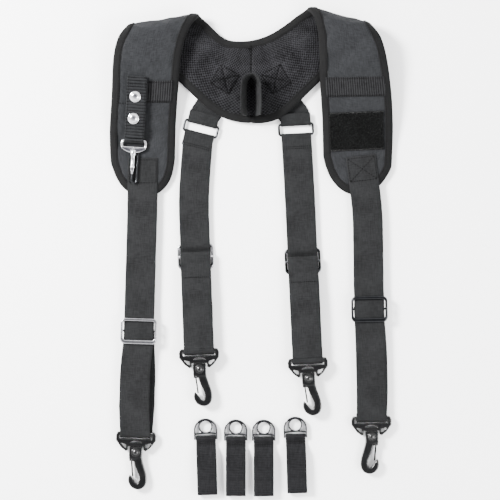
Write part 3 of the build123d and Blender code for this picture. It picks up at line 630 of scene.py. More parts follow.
def panel_spot(side, plan, offset):
    """Places on a shoulder panel over plan points, this far out from the lining, and their normals."""
    middle, away = fold_of(side)
    plan = np.asarray(plan, float)
    v = (plan - middle) @ away
    top_v = FOLD_OUT + FOLD_OUT * sin(SLOPE)
    top_z = FOLD_Z + FOLD_OUT * cos(SLOPE)
    bend_r = SETTLE_R - PAD_T
    bend_v = LEVEL_V - bend_r * sin(SLOPE)
    turn = np.arccos(np.clip((v - FOLD_OUT) / FOLD_OUT, -1, 1))
    left = np.arcsin(np.clip((LEVEL_V - v) / bend_r, 0, sin(SLOPE)))
    out = np.where(v < top_v, np.cos(turn), np.sin(left))
    rise = np.where(v < top_v, np.sin(turn), np.cos(left))
    slope_z = top_z - (v - top_v) * np.tan(SLOPE)
    z = np.where(v < top_v, FOLD_Z + FOLD_OUT * np.sin(turn), slope_z)
    z = np.where(v > bend_v, SETTLE_R - bend_r * np.cos(left), z)
    normals = np.concatenate([out[:, None] * away, rise[:, None]], axis=1)
    face = np.concatenate([plan, z[:, None]], axis=1)
    return face + normals * np.reshape(offset - PAD_T, (-1, 1)), normals


def yoke_spot(side, plan, offset):
    """Places on the yoke over plan points, this far out from the lining, and their outward normals."""
    middle, away = fold_of(side)
    plan = np.asarray(plan, float)
    v = np.maximum((plan - middle) @ away, 0)
    turn = -np.arccos(np.clip((v - FOLD_OUT) / FOLD_OUT, -1, 0))
    normals = np.concatenate([np.cos(turn)[:, None] * away, np.sin(turn)[:, None]], axis=1)
    face = np.concatenate([plan, (FOLD_Z + FOLD_OUT * np.sin(turn))[:, None]], axis=1)
    return face + normals * np.reshape(offset - PAD_T, (-1, 1)), normals


def patch_grid(top, bottom, left, right, columns, rows):
    """Plan points of a four-sided patch between its four edges, row by row."""
    a = np.asarray(columns)[None, :, None]
    b = np.asarray(rows)[:, None, None]
    t, u = spaced(top, columns)[None], spaced(bottom, columns)[None]
    l, r = spaced(left, rows)[:, None], spaced(right, rows)[:, None]
    flat = (1 - b) * t + b * u + (1 - a) * l + a * r
    corners = (1 - a) * ((1 - b) * t[:, :1] + b * u[:, :1]) + a * ((1 - b) * t[:, -1:] + b * u[:, -1:])
    return flat - corners


def fold_rows(run, turn_degrees, step):
    """Row places from a fold on, close together round the fold and then one about every step."""
    turns = np.radians(np.linspace(0, turn_degrees, 8))
    near = FOLD_OUT * (1 - np.cos(turns))
    far = np.linspace(near[-1], run, int((run - near[-1]) / step) + 1)[1:]
    return np.concatenate([near, far]) / run


def half_of(line, side):
    """The part of a line across the yoke that belongs to one pad, from its fold to past the seam."""
    line = np.asarray(line) if side == "left" else np.asarray(line)[::-1]
    way = 1 if side == "left" else -1
    k = int(np.argmax(line[:, 0] * way > SEAM_X * way + SEAM_LAP))
    share = (SEAM_X + SEAM_LAP * way - line[k - 1, 0]) / (line[k, 0] - line[k - 1, 0])
    return np.vstack([line[:k], line[k - 1] + (line[k] - line[k - 1]) * share])


def pad_plan(side):
    """Plan points of one pad from the centre seam over the fold to the toe, and how many rows are yoke."""
    panel = PANELS[side]
    neck = smooth_curve([PANELS["left"]["inner"]] + NECKLINE + [PANELS["right"]["inner"]])
    low = smooth_curve(YOKE_LOWER)
    low = np.vstack([PANELS["left"]["outer"], low, PANELS["right"]["outer"]])
    neck, low = half_of(neck, side), half_of(low, side)
    columns = np.linspace(0, 1, 25)
    fold = [panel["inner"], panel["outer"]]
    seam = [neck[-1], low[-1]]
    rows = fold_rows(lengths(neck)[-1], 90, 4.6)
    yoke = patch_grid(fold, seam, neck, low, columns, rows)
    inner = smooth_curve([panel["inner"]] + panel["inner_edge"])
    outer = smooth_curve(panel["outer_edge"] + [panel["outer"]])[::-1]
    toe = smooth_curve([panel["inner_edge"][-1]] + panel["toe"] + [panel["outer_edge"][0]])
    rows = fold_rows(lengths(inner)[-1], 80, 4.6)
    over = patch_grid(fold, toe, inner, outer, columns, rows)
    return np.concatenate([yoke[::-1], over[1:]]), len(yoke)


COVER_MARGIN = 2.0
KEY_COVER = [(-162, 132), (-133, 132), (-128, 224), (-158, 224)]


def held_down(side, plan):
    """Plan places on a panel where something is sewn over the pad, which keeps it flat."""
    low, high = BAND_Y[side]
    (x0, y0), (x1, y1) = FRONT_TOPS[f"{side}_front"]
    reach, top = STRAP_W / 2 + COVER_MARGIN, y1 + COVER_MARGIN
    covers = [rectangle(-200, low - COVER_MARGIN, 200, high + COVER_MARGIN), KEY_COVER]
    covers.append([(x0 - reach, y0), (x0 + reach, y0), (x1 + reach, top), (x1 - reach, top)])
    if side == "right":
        patch = np.array(PATCH)
        covers[1] = (patch + np.sign(patch - patch.mean(axis=0)) * COVER_MARGIN).tolist()
    return np.any([inside(plan, cover) for cover in covers], axis=0)


# How far the cloth simulation may move a pad's cloth where it swells, and where it lies against something.
PUFF_CAP, LINING_CAP, YOKE_FACE_CAP = 1.6, 0.5, 0.4
PUFF_FRAMES = 20
PUFF_SETTINGS = {
    "vertex_group_mass": "sewn", "use_pressure": True, "uniform_pressure_force": 4.0, "quality": 6,
    "mass": 0.2, "shrink_min": -0.035, "bending_stiffness": 0.4,
}


def puff(piece, sewn, cap):
    """Swells a closed pad by cloth simulation with its sewn places pinned, and caps how far it moves."""
    rest = np.array([v.co for v in piece.data.vertices])
    group = piece.vertex_groups.new(name="sewn")
    group.add([int(i) for i in np.flatnonzero(sewn)], 1.0, "REPLACE")
    cloth = piece.modifiers.new("puff", "CLOTH")
    for setting, value in PUFF_SETTINGS.items():
        setattr(cloth.settings, setting, value)
    cloth.settings.effector_weights.gravity = 0.0
    cloth.collision_settings.use_collision = False
    cloth.collision_settings.use_self_collision = False
    for step in range(1, PUFF_FRAMES + 1):
        bpy.context.scene.frame_set(step)
    shaped = piece.evaluated_get(bpy.context.evaluated_depsgraph_get())
    moved = np.array([v.co for v in shaped.data.vertices]) - rest
    piece.modifiers.clear()
    bpy.context.scene.frame_set(1)
    far = np.linalg.norm(moved, axis=1, keepdims=True)
    limit = cap[:, None] * MM
    moved *= np.tanh(far / (limit + 1e-9)) * limit / np.maximum(far, 1e-9)
    piece.data.vertices.foreach_set("co", (rest + moved).ravel())
    piece.vertex_groups.clear()


EDGE_HALF = 1.7  # half of a pad's thickness at its border
EDGE_SPREAD = 6.0  # how quickly it grows inwards


def half_thickness(inwards):
    """Half of a pad's thickness, this far in from its border."""
    return EDGE_HALF + (PAD_T / 2 - EDGE_HALF) * (1 - np.exp(-inwards / EDGE_SPREAD))


def pad_surface(side):
    """One whole pad's middle points, half thicknesses and normals, with its border's distance."""
    grid, yoke_rows = pad_plan(side)
    rows, columns = grid.shape[:2]
    plan = grid.reshape(-1, 2)
    on_yoke = np.repeat(np.arange(rows) < yoke_rows, columns)
    middle = np.zeros((len(plan), 3))
    normals = np.zeros((len(plan), 3))
    for chosen, spot in ((on_yoke, yoke_spot), (~on_yoke, panel_spot)):
        middle[chosen], normals[chosen] = spot(side, plan[chosen], PAD_T / 2)
    shape = middle.reshape(rows, columns, 3)
    border = np.concatenate([shape[:, 0], shape[:, -1], shape[-1]])
    gaps = np.min(np.linalg.norm(middle[:, None] - border[None], axis=2), axis=1)
    half = half_thickness(gaps)
    seam = np.abs(plan[:, 0] - SEAM_X)
    half = np.where(on_yoke, half - 0.9 * np.exp(-((seam / 2.6) ** 2)), half)
    return shape, normals.reshape(rows, columns, 3), half.reshape(rows, columns), gaps, on_yoke, plan


def shell_faces(rows, columns):
    """Faces of a closed shell made of two grids, the first one inside."""
    count = rows * columns
    faces = []
    for i in range(rows - 1):
        for j in range(columns - 1):
            a, d = i * columns + j, (i + 1) * columns + j
            b, c = a + 1, d + 1
            faces.append((a, d, c, b))
            faces.append((count + a, count + b, count + c, count + d))
    rim = list(range(columns))
    rim += [i * columns + columns - 1 for i in range(1, rows)]
    rim += [(rows - 1) * columns + j for j in range(columns - 2, -1, -1)]
    rim += [i * columns for i in range(rows - 2, 0, -1)]
    for a, b in zip(rim, rim[1:] + rim[:1]):
        faces.append((a, b, count + b, count + a))
    return faces


SEWN_EDGE = 7.5
SEWN_SEAM = 2.5
BOX_COVER = (16, 14)  # half sizes
HANG_COVER = rectangle(-16, 165, 16, 182)


def pad_stays(side, plan, on_yoke, gaps):
    """Which points seams hold, and how far the others may move: first the lining's, then the face's."""
    sewn = (gaps < SEWN_EDGE) | (on_yoke & (np.abs(plan[:, 0]) < SEWN_SEAM))
    w, h = BOX_COVER
    covers = [rectangle(x - w, YOKE_BOX_Y - h, x + w, YOKE_BOX_Y + h) for x in YOKE_BOX_X.values()]
    quilted = on_yoke & np.any([inside(plan, cover) for cover in covers + [HANG_COVER]], axis=0)
    still = np.concatenate([sewn | quilted, sewn | (held_down(side, plan) & ~on_yoke)])
    lining_cap, face_cap = np.where(on_yoke, PUFF_CAP, LINING_CAP), np.where(on_yoke, YOKE_FACE_CAP, PUFF_CAP)
    return still, np.concatenate([lining_cap, face_cap])


def make_pad(side):
    """One pad with its swelling. Gives its middle surface and its normals."""
    mid, normal, half, gaps, on_yoke, plan = pad_surface(side)
    rows, columns = half.shape
    points = np.concatenate([(mid + normal * half[..., None] * way).reshape(-1, 3) for way in (-1, 1)])
    downs = np.repeat(lengths(mid[:, columns // 2])[:, None], columns, axis=1)
    sideways = np.stack([lengths(row) for row in mid])
    weave = np.stack([downs.ravel(), (sideways - sideways[:, -1:] / 2).ravel()], axis=1)
    faces = shell_faces(rows, columns)
    if side == "right":
        faces = [face[::-1] for face in faces]
    pad = make_piece(f"{side}_pad_body", points, faces, "pad_nylon", np.concatenate([weave, weave]))
    puff(pad, *pad_stays(side, plan, on_yoke, gaps))
    pad.data.materials.append(MATERIALS["spacer_mesh"])
    lining = [all(k < len(plan) for k in face.vertices) for face in pad.data.polygons]
    pad.data.polygons.foreach_set("material_index", [int(x) for x in lining])
    rounded(pad, 1)
    place_piece(pad, "harness", [f"{side}_pad_{part}" for part in ("lining", "foam", "face")])
    return mid, normal


# ---- binding round the pads

BINDING_W = 8.6
BINDING_SEAM = 2.0  # how far the seam lies from the tape's inner edge
TAPE_T = 0.9
TAPE_GAP = 0.2


def binding_section():
    """The tape's own outline: a thin U open towards the pad, as (inwards, outwards share) pairs."""
    outer = [(BINDING_W * share, 1.0) for share in (1, 0.6, 0.25)] + [(0.4, 0.85), (-0.7, 0.45), (-1.0, 0.0)]
    return outer + [(x, -s) for x, s in outer[-2::-1]]


def bind_pad(side, mid, normal):
    """Tape folded over a pad's edge, down one side, round the toe and back, sewn through on both faces."""
    rows, columns = mid.shape[:2]
    path = [(i, 0) for i in range(rows)] + [(rows - 1, j) for j in range(1, columns)]
    path += [(i, columns - 1) for i in range(rows - 2, -1, -1)]
    line = np.array([mid[spot] for spot in path])
    ups = np.array([normal[spot] for spot in path])
    tangents = unit(np.gradient(line, axis=0))
    for _ in range(2):
        tangents[1:-1] = unit(tangents[:-2] + 2 * tangents[1:-1] + tangents[2:])
    inwards = unit(np.cross(ups, tangents))
    centre = np.array([mid[i, columns // 2] if 0 < i < rows - 1 else mid[i, j] for i, j in path])
    if np.mean(np.sum(inwards * (centre - line), axis=1)) < 0:
        inwards = -inwards
    section = binding_section()
    points, weave = [], []
    for place, spot, up, inward in zip(lengths(line), line, ups, inwards):
        for layer, shape in ((1, section), (0, section[::-1])):
            for x, share in shape:
                grow = half_thickness(max(x, 0)) + TAPE_GAP + layer * TAPE_T
                grow += 0.22 * wobble(spot + inward * x, 5.0, 2) + 0.18 * sin(place / 1.9)
                back = x - layer * TAPE_T * 0.6 * (x < 1)
                points.append(spot + inward * back + up * share * grow)
                weave.append((place, x + 20 * (share < 0)))
    faces = tube_faces(len(line), 2 * len(section))
    tape = make_piece(f"{side}_pad_edge_tape", points, faces, "binding_tape", weave)
    rounded(tape, 1)
    place_piece(tape, "harness", [f"{side}_pad_binding"])
    for face in (1, -1):
        seam = line + inwards * (BINDING_W - BINDING_SEAM) + ups * (PAD_T / 2 + TAPE_T / 2) * face
        stitch("harness", seam, ups * face, seed=4)


pads = {side: make_pad(side) for side in PANELS}
for side, surface in pads.items():
    bind_pad(side, *surface)

# ---- bands and patch on the panels

SHEET_OUT = 7.05  # from the lining
SHEET_T = 1.5
BAND_INSET = 5.0
TUFTS, LINT = 2600, 260  # how many fibres stand on the patch, and along each of two edges


def laid_sheet(name, side, corners, kind, pitch=1.6, soft=0.25):
    """A sheet sewn flat on a shoulder panel, given by its four plan corners, with thin edges."""
    a, b, c, d = (np.array(p, float) for p in corners)
    columns = max(4, int(np.linalg.norm(b - a) / pitch))
    rows = max(4, int(np.linalg.norm(d - a) / pitch))
    s, t = np.meshgrid(np.linspace(0, 1, columns), np.linspace(0, 1, rows))
    s, t = s.ravel()[:, None], t.ravel()[:, None]
    plan = (1 - t) * ((1 - s) * a + s * b) + t * ((1 - s) * d + s * c)
    edge = np.minimum(np.minimum(s, 1 - s) * columns, np.minimum(t, 1 - t) * rows).ravel()
    rise = SHEET_T * (0.45 + 0.55 * np.minimum(edge / 1.5, 1))
    bumps = np.array([soft * wobble((x, y, 0), 7.0, 3) for x, y in plan]) * np.minimum(edge, 1)
    low, normals = panel_spot(side, plan, SHEET_OUT)
    high = low + normals * (rise + bumps)[:, None]
    weave = np.stack([t.ravel() * np.linalg.norm(d - a), s.ravel() * np.linalg.norm(b - a)], axis=1)
    faces = [face[::-1] for face in shell_faces(rows, columns)]
    piece = make_piece(name, np.concatenate([low, high]), faces, kind, np.concatenate([weave, weave]))
    return piece, plan.reshape(rows, columns, 2)


def band_ends(side, y):
    """Where a band at this Y starts and ends, inside the panel's inner and outer binding."""
    panel = PANELS[side]
    step = BAND_INSET if side == "left" else -BAND_INSET
    edges = [panel["inner"]] + panel["inner_edge"], [panel["outer"]] + panel["outer_edge"][::-1]
    found = []
    for points, way in zip(edges, (-1, 1)):
        line = smooth_curve(points)[::-1]
        found.append(float(np.interp(y, line[:, 1], line[:, 0])) + step * way)
    return found


def sew_panel(side, start, end, out, seed, pitch=3.2):
    """A straight row of stitches on a panel, this far out from its lining."""
    spots, ups = panel_spot(side, np.linspace(start, end, 24), out)
    stitch("harness", spots, ups, pitch=pitch, seed=seed)


def make_band(side, low, high):
    """An elastic band across a panel, with a seam along its lower and its upper edge."""
    (in_low, out_low), (in_high, out_high) = (band_ends(side, y) for y in (low, high))
    seam_start = (out_low, low)
    if side == "left":
        out_low, out_high = UNDER_KEY_X
    corners = [(out_low, low), (in_low, low + 1), (in_high, high + 1), (out_high, high)]
    if side == "right":
        corners = [(in_low, low), (out_low, low + 1), (out_high, high + 1), (in_high, high)]
    band, _ = laid_sheet(f"{side}_elastic_band", side, corners, "elastic")
    place_piece(band, "harness", [f"{side}_utility_band"])
    if side == "left":
        sew_panel(side, seam_start, corners[0], 7.5, 6)
    for start, end, shift in ((corners[0], corners[1], 1.8), (corners[3], corners[2], -1.8)):
        sew_panel(side, np.array(start) + (0, shift), np.array(end) + (0, shift), 8.6, 6)


def tufts(draw, name, plan, kind, tall_range):
    """Loose fibres that stand up from the patch, one at each plan place."""
    points, faces, weave = [], [], []
    for spot, up in zip(*panel_spot("right", plan, 8.2)):
        lean = unit(np.array([draw.normal(), draw.normal(), 0.0])) * draw.uniform(0.3, 1.1)
        tall = draw.uniform(*tall_range)
        side_step = np.array([-lean[1], lean[0], 0.0]) / np.linalg.norm(lean) * 0.16
        fibre = []
        for share, swell in ((0.0, 1.0), (0.55, 0.9), (1.0, 0.4)):
            knot = spot + up * tall * sin(share * pi / 1.6) + lean * share**1.5
            third = knot + lean * 0.2 * swell + up * 0.1
            fibre += [knot - side_step * swell, knot + side_step * swell, third]
            weave += [tuple(spot[:2])] * 3
        add_shape(points, faces, fibre, tube_faces(3, 3))
    place_piece(make_piece(name, points, faces, kind, weave), "harness")


def make_patch():
    """The hook-and-loop patch with its standing fibres, pale lint along two of its edges, and its seams."""
    patch, plan = laid_sheet("loop_patch_pile", "right", PATCH, "loop_pile", pitch=0.9, soft=0.5)
    place_piece(patch, "harness", ["loop_patch"])
    draw = np.random.default_rng(7)
    spots = plan[1:-1, 1:-1].reshape(-1, 2)
    spots = spots[draw.permutation(len(spots))[:TUFTS]] + draw.uniform(-0.4, 0.4, (TUFTS, 2))
    tufts(draw, "loop_patch_tufts", spots, "loop_pile", (0.7, 1.7))
    fringe = np.concatenate([plan[row][draw.integers(1, plan.shape[1] - 1, LINT)] for row in (1, -2)])
    fringe = fringe + draw.uniform(-0.5, 0.5, fringe.shape)
    tufts(draw, "loop_patch_fringe", fringe, "lint", (0.9, 1.6))
    corners = np.array(PATCH)
    corners = corners + (corners.mean(axis=0) - corners) * 0.05
    for k, corner in enumerate(corners):
        sew_panel("right", corner, corners[(k + 1) % 4], 8.5, 8, pitch=2.6)


for side, band_edges in BAND_Y.items():
    make_band(side, *band_edges)
make_patch()

# ---- straps

LAYER_SHIFT = {"left": (-3.4, 3.0), "right": (0.8, 3.2)}  # how far the front and back layers lie aside
HOOK_TURN = 4.2  # radius of the webbing's middle round a hook's bar
UPPER_MID, LOOP_MID, RAISED_MID = 7.7, 9.0, 10.7  # heights of the front run's middle
THROUGH_SLIDER = {  # (along from the slider's middle, out from the underside)
    "front": [(26, UPPER_MID), (13, LOOP_MID), (-13, LOOP_MID)],
    "back": [(26, UPPER_MID), (12, UPPER_MID), (8, RAISED_MID), (-4, RAISED_MID), (-12, LOOP_MID)],
}
TAIL_TURN = {"front": 0.6, "back": 2.9}  # how far up from the slider's middle the tail turns back
SLIDER_HUMP = [(-12.5, 9.15), (-7, 9.75), (0, 10.15), (7, 9.75), (12.5, 9.15)]


def strap_spot(name, x, y, z):
    """A place on a strap, given across it, up from its hook bar and out from its underside."""
    spec = STRAPS[name]
    height = SLIDER_TOP - z if spec["flipped"] else z
    plan = np.array([*spec["bar"], 0.0]) + across_of(spec["tilt"]) * x + along_of(spec["tilt"]) * y
    return plan + np.array([0, 0, height])


def strap_line(name, course):
    """Places along a strap's middle from (along, out) pairs."""
    return np.array([strap_spot(name, 0, y, z) for y, z in course])


def layer_share(up_strap, slider):
    """How much of a layer's sideways shift there is: little at the hook, none at the slider."""
    up_strap = np.asarray(up_strap, float)
    rise = 0.35 + 0.65 * np.clip(up_strap / 35, 0, 1)
    return rise * np.clip((slider - 14 - up_strap) / 40, 0, 1) ** 0.7


def lie_aside(name, line, up_strap, layer):
    """Moves a front strap's front (0) or back (1) layer sideways."""
    spec = STRAPS[name]
    shift = LAYER_SHIFT[name.split("_")[0]][layer] * (-1 if spec["flipped"] else 1)
    return line + across_of(spec["tilt"]) * shift * layer_share(up_strap, spec["slider"])[:, None]


def rounded_course(points, reach=14.0, steps=7):
    """A line through these places whose corners are rounded off."""
    points = [np.asarray(p, float) for p in points]
    line = [points[0]]
    for before, here, after in zip(points, points[1:], points[2:]):
        first = here + unit(before - here) * min(reach, np.linalg.norm(before - here) / 2)
        last = here + unit(after - here) * min(reach, np.linalg.norm(after - here) / 2)
        for t in np.linspace(0, 1, steps):
            line.append((1 - t) ** 2 * first + 2 * t * (1 - t) * here + t**2 * last)
    return np.array(line + [points[-1]])


def box_of_stitches(body, centre, side, along, up, width, length, cross=True, thick=0.8):
    """A sewn box, with or without a cross in it."""
    signs = ((-1, -1), (1, -1), (1, 1), (-1, 1))
    corners = [centre + side * x * width / 2 + along * y * length / 2 for x, y in signs]
    runs = list(zip(corners, corners[1:] + corners[:1]))
    if cross:
        runs += [(corners[0], corners[2]), (corners[1], corners[3])]
    for start, end in runs:
        stitch(body, np.linspace(start, end, 12), up, seed=9, width=thick)


def sew_across(body, spot, tilt, half, steps=12, seed=13):
    """A short seam across webbing, through this spot."""
    reach = across_of(tilt) * half
    stitch(body, np.linspace(spot - reach, spot + reach, steps), (0, 0, 1), pitch=2.6, seed=seed)


def ring_bar(side, way):
    """The middle of a ring's upper (1) or lower (-1) bar, at the floor."""
    ring = RINGS[side]
    return np.array([*ring["centre"], 0.0]) + along_of(ring["tilt"]) * RING_REACH * way


def front_run(name, lower):
    """Places and tilts along a front strap's face, from its top on the pad to under its hook bar."""
    (bend_x, bend_y), (top_x, top_y) = FRONT_TOPS[name]
    upper = [np.array([top_x, top_y, UPPER_MID]), np.array([bend_x, bend_y, UPPER_MID]), lower[0]]
    upper = rounded_course(upper, reach=22)
    upper[0] += (0, 0, 0.3)
    line = np.vstack([upper[:-1], lower])
    way = unit(np.gradient(line, axis=0))
    tilts = np.degrees(np.arctan2(way[:, 0], -way[:, 1]))
    tilts[len(upper) - 1 :] = STRAPS[name]["tilt"]
    return line, tilts


def back_run(name, lower):
    """Places and tilts along a back strap's face, from its hem, round the ring, to under its hook bar."""
    side = name.split("_")[0]
    bar, ring_tilt = ring_bar(side, -1), RINGS[side]["tilt"]
    up_ring = along_of(ring_tilt)
    hem = [(-18, 3.4), (-9, 2.2), (-3, 0.75)] + arc((0, RING_Z), WRAP_R, -90, 90, 10) + [(-3, RING_WEB_Z)]
    hem_line = np.array([bar + up_ring * y + (0, 0, z) for y, z in hem])
    below = bar - up_ring * 10 + (0, 0, RING_WEB_Z)
    bend = np.array([*BACK_BENDS[name], RING_WEB_Z])
    upper = rounded_course([hem_line[-1], below, bend, lower[0]], reach=26)
    line = np.vstack([hem_line[:-1], upper[:-1], lower])
    tilts = np.full(len(line), STRAPS[name]["tilt"])
    first, steps = len(hem_line) - 1, upper[1:] - upper[:-1]
    turns = np.degrees(np.arctan2(-steps[:, 0], steps[:, 1]))
    tilts[first : first + len(steps)] = (turns + 90) % 180 - 90
    tilts[: first + 2] = ring_tilt
    return line, tilts


def strap_face(name, end):
    """The run that shows in front: from the pad or the ring, through the slider, and round the hook's bar."""
    spec = STRAPS[name]
    slider = spec["slider"]
    course = [(slider + y, z) for y, z in THROUGH_SLIDER[end]] + [(14, LOOP_MID)]
    course += arc((0, HOOK_Z), HOOK_TURN, 90, 270, 14) + [(6, 0.6)]
    lower = strap_line(name, course)
    line, tilts = front_run(name, lower) if end == "front" else back_run(name, lower)
    ways = np.array([across_of(t) for t in tilts])
    line = evenly(np.concatenate([line, ways], axis=1), 3.0)
    line, ways = line[:, :3], line[:, 3:]
    if end == "front":
        line = lie_aside(name, line, (line - strap_spot(name, 0, 0, 0)) @ along_of(spec["tilt"]), 0)
    face = webbing(f"{name}_webbing_run", line, ways, "webbing", seed=len(name) + spec["flipped"])
    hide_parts(*(f"{name}_{part}_webbing" for part in ("upper", "loop")))
    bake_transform(face)


def strap_tail(name, end):
    """The run behind: from the hook's bar up to the slider's middle bar, round it and sewn to itself."""
    spec = STRAPS[name]
    slider = spec["slider"]
    course = [(y, 0.62) for y in np.linspace(3, slider - 46, 8)]
    course += [(slider - 34, 1.3), (slider - 22, 1.7), (slider, 1.85)]
    course += arc((slider + TAIL_TURN[end], CENTRE_BAR_Z), WRAP_R, -90, 90, 10)
    course += [(slider - 6, 6.3), (slider - 24, 4.1), (slider - 28, 3.4)]
    line = strap_line(name, course)
    if end == "front":
        line = lie_aside(name, line, [y for y, _ in course], 1)
    tail = webbing(f"{name}_webbing_tail", line, across_of(spec["tilt"]), "webbing", seed=11 + len(name))
    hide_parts(f"{name}_tail_webbing")
    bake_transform(tail)


def slider_webbing(name):
    """Webbing that arches up between the slider's two outer bars."""
    slider, tilt = STRAPS[name]["slider"], STRAPS[name]["tilt"]
    arch = strap_line(name, [(slider + y, z) for y, z in smooth_curve(SLIDER_HUMP, 16)])
    bulge = webbing(f"{name}_slider_webbing", arch, across_of(tilt), "webbing", thick=1.0, seed=17)
    place_piece(bulge, f"{name}_adjuster")


def strap_seams(name, side, end):
    """The tail's seam, and the box on the pad or the hem's two seams under the ring."""
    spec = STRAPS[name]
    flipped = spec["flipped"]
    seam = [strap_spot(name, x, spec["slider"] - 26, 0.45 if flipped else 0.6) for x in (-17, 17)]
    stitch(f"{name}_adjuster", np.linspace(*seam, 12), (0, 0, 1.0 if flipped else -1.0), pitch=2.6, seed=12)
    if end == "front":
        bend, top = (np.array([*spot, 0.0]) for spot in FRONT_TOPS[name])
        way = unit(top - bend)
        middle = top - way * 17 + (0, 0, UPPER_MID + 0.95)
        across = np.array([way[1], -way[0], 0.0])
        box_of_stitches("harness", middle, across, way, (0, 0, 1), 34, 29, cross=side == "right")
    else:
        tilt = RINGS[side]["tilt"]
        for drop in (15.0, 17.5):
            spot = ring_bar(side, -1) - along_of(tilt) * drop + (0, 0, RING_WEB_Z + 0.85)
            sew_across(f"{name}_upper", spot, tilt, 17)


for name in STRAPS:
    side, end = name.split("_")
    strap_face(name, end)
    strap_tail(name, end)
    if end == "front":
        slider_webbing(name)
    strap_seams(name, side, end)

# ---- connectors and hang loop

HANG_FOOT, HANG_SHOULDER = 172.0, 211.0
HANG_RAILS = [(5.4, 9.4, 2.0), (12.2, 32.6, 1.0)]  # half width, height and how far the arch is drawn out


def connector(side):
    """The webbing that holds a ring: sewn to itself on top, round the ring's upper bar and under the yoke."""
    ring, bar = RINGS[side], ring_bar(side, 1)
    up_ring = along_of(ring["tilt"])
    fold = [(13, 4.6), (3, RING_WEB_Z)] + arc((0, RING_Z), WRAP_R, 90, 270, 12) + [(4, LOW_WEB_Z)]
    fold_line = np.array([bar + up_ring * y + (0, 0, z) for y, z in fold])
    near = bar + up_ring * 6 + (0, 0, LOW_WEB_Z)
    far = np.array([*ring["inner"], LOW_WEB_Z])
    line = np.vstack([fold_line, rounded_course([near, near + up_ring * 4, far], reach=8)])
    tilts = np.full(len(line), ring["tilt"])
    lean = far - near
    tilts[len(fold_line) + 3 :] = np.degrees(np.arctan2(-lean[0], lean[1]))
    ways = np.array([across_of(t) for t in tilts])
    link = webbing(f"{side}_connector_webbing", line, ways, "webbing", seed=21, wave=0.1)
    place_piece(link, "harness", [f"{side}_back_connector"])


def hang_rail(half, height, stretch):
    """One edge of the hang loop's webbing: up, over an arch and down again."""
    arch = [(x, HANG_SHOULDER + y * stretch) for x, y in arc((0, 0), half, 180, 0, 15)]
    flat = [(-half, HANG_FOOT), (-half - 0.6, 190), (-half, HANG_SHOULDER)] + arch[1:-1]
    flat += [(half, HANG_SHOULDER), (half + 0.8, 190), (half, HANG_FOOT)]
    return evenly([(x, y, height) for x, y in flat], 1.0)


def hang_loop():
    """Narrow webbing that stands on edge on the yoke."""
    rails = [hang_rail(*rail) for rail in HANG_RAILS]
    places = np.linspace(0, 1, min(len(rail) for rail in rails))
    low, high = (spaced(rail, places) for rail in rails)
    hang = webbing(
        "hang_loop_webbing", (low + high) / 2, unit(high - low), "webbing",
        width=24.5, thick=1.5, columns=8, step=1.2, seed=25, wave=0.15,
    )
    place_piece(hang, "harness", ["hang_loop"])


for side in RINGS:
    connector(side)
hang_loop()

# ---- key strap

KEY_AXIS = unit(np.subtract(KEY_TOP, KEY_BAR))
KEY_RUN = float(np.linalg.norm(np.subtract(KEY_TOP, KEY_BAR)))
KEY_ACROSS = np.array([KEY_AXIS[1], -KEY_AXIS[0], 0.0])
EYE_ALONG = along_of(KEY_TILT)
# The eye's bar lies level at the height that the CAD frame gives it.
bar_low, bar_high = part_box("key_snap_frame")
EYE_AT = np.array([*KEY_BAR, (bar_low.z + bar_high.z) / 2 / MM])
EYE_TURN = 2.25
RIB_SWELL = 0.35
CAP = [(0.01, 0.0), (6.6, 0.0), (7.0, 0.25), (7.0, 0.7), (6.5, 0.95), (6.1, 1.0), (5.8, 1.35), (5.0, 2.1),
       (3.6, 2.85), (1.8, 3.3), (0.01, 3.45)]


def key_line(course):
    """Places along the key strap from (up from its bar, out from the lining) pairs."""
    plan = np.array([np.array(KEY_BAR) + KEY_AXIS * y for y, _ in course])
    return panel_spot("left", plan, np.array([z for _, z in course]))[0]


def key_layer(part, line, body, seed, thick=WEB):
    """One layer of the key strap's ribbed webbing."""
    layer = webbing(
        f"key_strap_{part}_webbing", line, KEY_ACROSS, "key_webbing", width=NARROW_W, thick=thick, step=0.6,
        columns=10, seed=seed, wave=0.0, ribs=(KEY_RIB, RIB_SWELL),
    )
    place_piece(layer, body, [f"key_strap_{part}"])


def key_strap():
    """The layer behind, which turns round the eye's bar, and the flap over it with its two seams."""
    turn = [EYE_AT + EYE_ALONG * y + np.array([0, 0, z]) for y, z in arc((0, 0), EYE_TURN, -90, -270, 12)]
    behind = evenly(key_line([(KEY_RUN, KEY_BACK + 0.6), (8, KEY_BACK + 0.6)]), 3.0)
    key_layer("back", np.vstack([behind, turn, [EYE_AT + EYE_ALONG * 2.2 + (0, 0, EYE_TURN)]]), "harness", 31)
    flap = key_line([(y, KEY_FLAP + 0.7) for y in np.linspace(3.6, KEY_RUN, 12)])
    key_layer("flap", flap, "key_flap", 33, thick=1.5)
    up = (0, sin(SLOPE), cos(SLOPE))
    for x in (-10.6, 10.6):
        stitch("key_flap", flap + KEY_ACROSS * x + (0, 0, 0.85), up, pitch=3.0, seed=14)


def snap_caps():
    """The two snaps' domed caps, as one piece."""
    points, faces = [], []
    for plan in SNAPS:
        spots, ups = panel_spot("left", [plan], KEY_FLAP + 1.3)
        add_shape(points, faces, *lathe(spots[0], ups[0], X_WAY, CAP))
    place_piece(make_piece("snap_cap_domes", points, faces, "chrome"), "key_flap", ["snap_caps"])


key_strap()
snap_caps()

# ---- belt loops

LOOP_BAR = -24.5
LOOP_BAR_Z = 2.8
